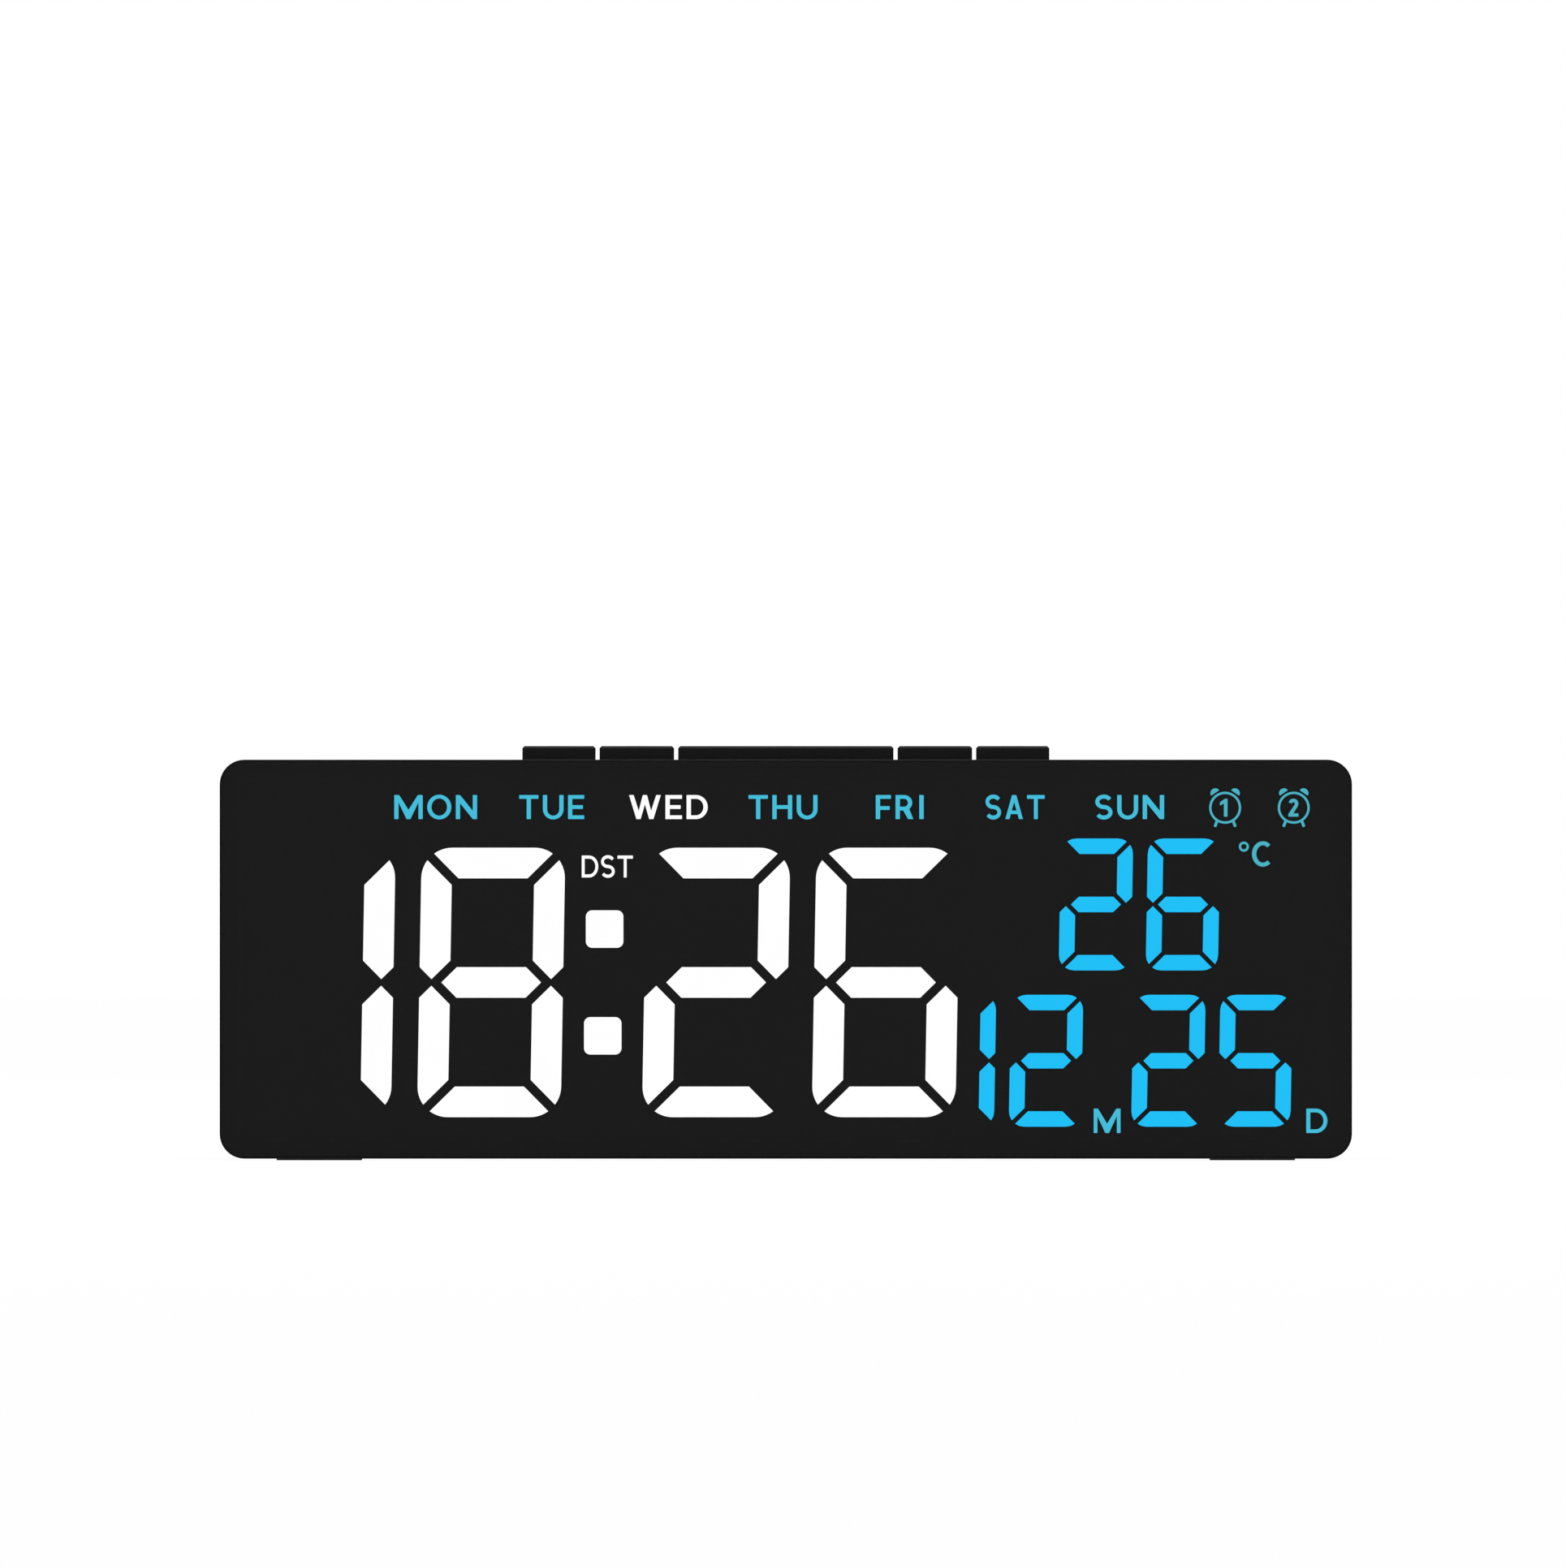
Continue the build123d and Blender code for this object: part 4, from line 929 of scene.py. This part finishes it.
# The alarm signs, in pixels of the photo from the middle of their ring, with angles in degrees
SIGN_RING = 19.7
SIGN_RING_INNER = 16.9
BELL_LEAN = 34
BELL_AWAY = 22.0
BELL_WIDE = 5.9
BELL_HIGH = 5.6
LEG_TURN = -59
LEG_SPREAD = 5
LEG_GAP = 0.05
LEG_END = [(14.2, -22.9), (11.1, -24.1)]
SIGN_STEPS = 44
BELL_STEPS = 16
LEG_STEPS = 4
SIGN_CAP = 22.0
NUMERAL_STEM = 0.2
NUMERAL_BAR = 0.18
NUMERAL_SHIFT = {"1": -1.7, "2": -0.4}

# Their middles: in millimetres across the face, and in pixels down the photo
SIGN_PLACES = {"1": 62.1, "2": 71.8}
SIGN_ROW_PX = 995


def alarm_sign(name, mark, x, z):
    """A small alarm clock sign: ring, two bells, two legs and a number."""
    outlines = [circle(0, 0, radius, SIGN_STEPS) for radius in (SIGN_RING, SIGN_RING_INNER)]
    for side in (-1, 1):
        lean = radians(90 - side * BELL_LEAN)
        out = Vector((cos(lean), sin(lean)))
        across = Vector((-out.y, out.x))
        dome = arc(0, BELL_AWAY, BELL_WIDE, BELL_HIGH, 0, 180, BELL_STEPS)
        outlines.append([tuple(across * u + out * v) for u, v in dome])
        reach = SIGN_RING + LEG_GAP
        root = arc(0, 0, reach, reach, LEG_TURN - LEG_SPREAD, LEG_TURN + LEG_SPREAD, LEG_STEPS)
        outlines.append([(side * u, v) for u, v in root + LEG_END])
    draw, mark_w = letters[mark]
    left = NUMERAL_SHIFT[mark] - SIGN_CAP * mark_w / 2
    low = -SIGN_CAP / 2
    for outline in draw(mark_w, NUMERAL_STEM, NUMERAL_BAR):
        outlines.append([(left + u * SIGN_CAP, low + v * SIGN_CAP) for u, v in outline])
    placed = [[(x + px(u), z + px(v)) for u, v in outline] for outline in outlines]
    flat_piece(name, on_face(placed), sign_blue, ON_FILM)


for number, sign_x in SIGN_PLACES.items():
    alarm_sign("alarm_sign_" + number, number, sign_x, px(BOTTOM_PX - SIGN_ROW_PX))

# Signs printed on the tops of the buttons, in millimetres from the middle of the button
SIGN_HALF = 1.5
SIGN_SINK = 0.05 * MM


def bars_sign():
    half = 0.22
    pitch = 1.0
    corners = [(-SIGN_HALF, -half), (SIGN_HALF, -half), (SIGN_HALF, half), (-SIGN_HALF, half)]
    return [[(x, y + row * pitch) for x, y in corners] for row in (-1, 0, 1)]


def bell_sign():
    waist = 1.05
    shoulder = 0.2
    crown = 1.25
    flare = -0.5
    rim = -0.95
    clapper_z = -1.2
    clapper = 0.42
    dome = arc(0, shoulder, waist, crown, 180, 0)
    bell = [(-SIGN_HALF, rim), (-waist, flare)] + dome + [(waist, flare), (SIGN_HALF, rim)]
    return [bell, arc(0, clapper_z, clapper, clapper, 180, 360)]


def moon_sign():
    disc_x = 0.2
    disc_turn = 60
    disc_steps = 30
    bite_x = 0.85
    bite = 1.35
    bite_turn = 106
    bite_steps = 24
    outer = arc(disc_x, 0, SIGN_HALF, SIGN_HALF, disc_turn, 360 - disc_turn, disc_steps)
    inner = arc(bite_x, 0, bite, bite, 360 - bite_turn, bite_turn, bite_steps)
    return [outer + inner]


def arrow_sign(way):
    base = -1.2 * way
    tip = 1.3 * way
    return [[(-SIGN_HALF, base), (SIGN_HALF, base), (0.0, tip)]]


button_signs = {
    "mode": bars_sign(), "alarm": bell_sign(), "snooze": moon_sign(),
    "down": arrow_sign(-1), "up": arrow_sign(1),
}


def print_buttons():
    """Sets each button's sign on its top, sunk in by most of the print's thickness."""
    for button, outlines in button_signs.items():
        low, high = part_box(button + "_button")
        stand = Matrix.Translation(((low.x + high.x) / 2, (low.y + high.y) / 2, high.z - SIGN_SINK))
        sign = [[(x * MM, y * MM) for x, y in outline] for outline in outlines]
        flat_piece(button + "_sign", sign, sign_print, stand, button + "_button_body")


print_buttons()

# Stage: floor, lamps, surroundings and camera, in metres and watts
FLOOR_HALF = 3.0
FLOOR_TONE = (0.98, 0.98, 0.98, 1.0)
FLOOR_GLOW = 0.94
WHITE = (1.0, 1.0, 1.0, 1.0)
SKY_SEEN = 1.0
SKY_LIGHT = 0.85
SENSOR_W = 36.0
CLIP_END = 20.0
LAMP_AIM = (0.0, 0.0, FACE_MID_Z)
softboxes = [
    # Name, place, width and height, and power
    ("top_softbox", (0.0, 0.1, 0.75), (0.9, 0.6), 2.5),
    ("left_softbox", (-0.75, -0.35, 0.45), (0.5, 0.6), 1.2),
    ("right_softbox", (0.75, -0.25, 0.4), (0.5, 0.6), 1.0),
    ("back_softbox", (0.2, 0.8, 0.5), (0.8, 0.5), 1.5),
]


def any_ray(tree, kinds):
    """One for a ray of any of the given kinds, and zero for the others."""
    rays = tree.nodes.new("ShaderNodeLightPath")
    found = rays.outputs[kinds[0]]
    for kind in kinds[1:]:
        either = tree.nodes.new("ShaderNodeMath")
        either.operation = "MAXIMUM"
        tree.links.new(found, either.inputs[0])
        tree.links.new(rays.outputs[kind], either.inputs[1])
        found = either.outputs["Value"]
    return found


def pale_floor():
    """A matt white that shows white to the eye and in reflections, and adds no light of its own."""
    finish = bpy.data.materials.new("pale_floor")
    finish.use_nodes = True
    finish.cycles.emission_sampling = "NONE"
    tree = finish.node_tree
    tree.nodes.clear()
    seen = any_ray(tree, ("Is Camera Ray", "Is Glossy Ray"))
    part = tree.nodes.new("ShaderNodeMath")
    part.operation = "MULTIPLY"
    part.inputs[1].default_value = FLOOR_GLOW
    tree.links.new(seen, part.inputs[0])
    diffuse = tree.nodes.new("ShaderNodeBsdfDiffuse")
    diffuse.inputs["Color"].default_value = FLOOR_TONE
    glow = tree.nodes.new("ShaderNodeEmission")
    glow.inputs["Color"].default_value = WHITE
    mix = tree.nodes.new("ShaderNodeMixShader")
    tree.links.new(part.outputs["Value"], mix.inputs["Fac"])
    tree.links.new(diffuse.outputs["BSDF"], mix.inputs[1])
    tree.links.new(glow.outputs["Emission"], mix.inputs[2])
    out = tree.nodes.new("ShaderNodeOutputMaterial")
    tree.links.new(mix.outputs["Shader"], out.inputs["Surface"])
    return finish


def floor():
    half = FLOOR_HALF
    mesh = bpy.data.meshes.new("floor")
    corners = [(-half, -half, 0), (half, -half, 0), (half, half, 0), (-half, half, 0)]
    mesh.from_pydata(corners, [], [(0, 1, 2, 3)])
    mesh.materials.append(pale_floor())
    piece = new_object("floor", mesh)


def softbox(name, place, size, power):
    """A soft lamp that points at the middle of the face."""
    lamp = bpy.data.lights.new(name, "AREA")
    lamp.shape = "RECTANGLE"
    lamp.size, lamp.size_y = size
    lamp.energy = power
    box = new_object(name, lamp)
    box.location = place
    box.rotation_euler = (Vector(LAMP_AIM) - Vector(place)).to_track_quat("-Z", "Y").to_euler()


def surroundings():
    """A white sky, a little weaker as a light than it looks."""
    world = bpy.data.worlds.new("studio")
    world.use_nodes = True
    bpy.context.scene.world = world
    tree = world.node_tree
    sky = tree.nodes["Background"]
    sky.inputs["Color"].default_value = WHITE
    seen = any_ray(tree, ("Is Camera Ray", "Is Glossy Ray", "Is Transmission Ray"))
    level = tree.nodes.new("ShaderNodeMapRange")
    level.inputs["To Min"].default_value = SKY_LIGHT
    level.inputs["To Max"].default_value = SKY_SEEN
    tree.links.new(seen, level.inputs["Value"])
    tree.links.new(level.outputs["Result"], sky.inputs["Strength"])


def camera():
    """A long lens straight at the face, with the photo's framing."""
    eye = bpy.data.cameras.new("camera")
    eye.sensor_fit = "HORIZONTAL"
    eye.sensor_width = SENSOR_W
    eye.lens = SENSOR_W * CAMERA_AWAY / (PHOTO_W * PIXEL)
    eye.clip_end = CLIP_END
    stand = new_object("camera", eye)
    stand.location = (-FACE_SHIFT, window_low.y - CAMERA_AWAY, FACE_MID_Z + FACE_DROP)
    stand.rotation_euler = (pi / 2, 0.0, 0.0)
    bpy.context.scene.camera = stand


floor()
for lamp_name, lamp_place, lamp_size, lamp_power in softboxes:
    softbox(lamp_name, lamp_place, lamp_size, lamp_power)
surroundings()
camera()
bpy.context.scene.view_settings.view_transform = "Standard"
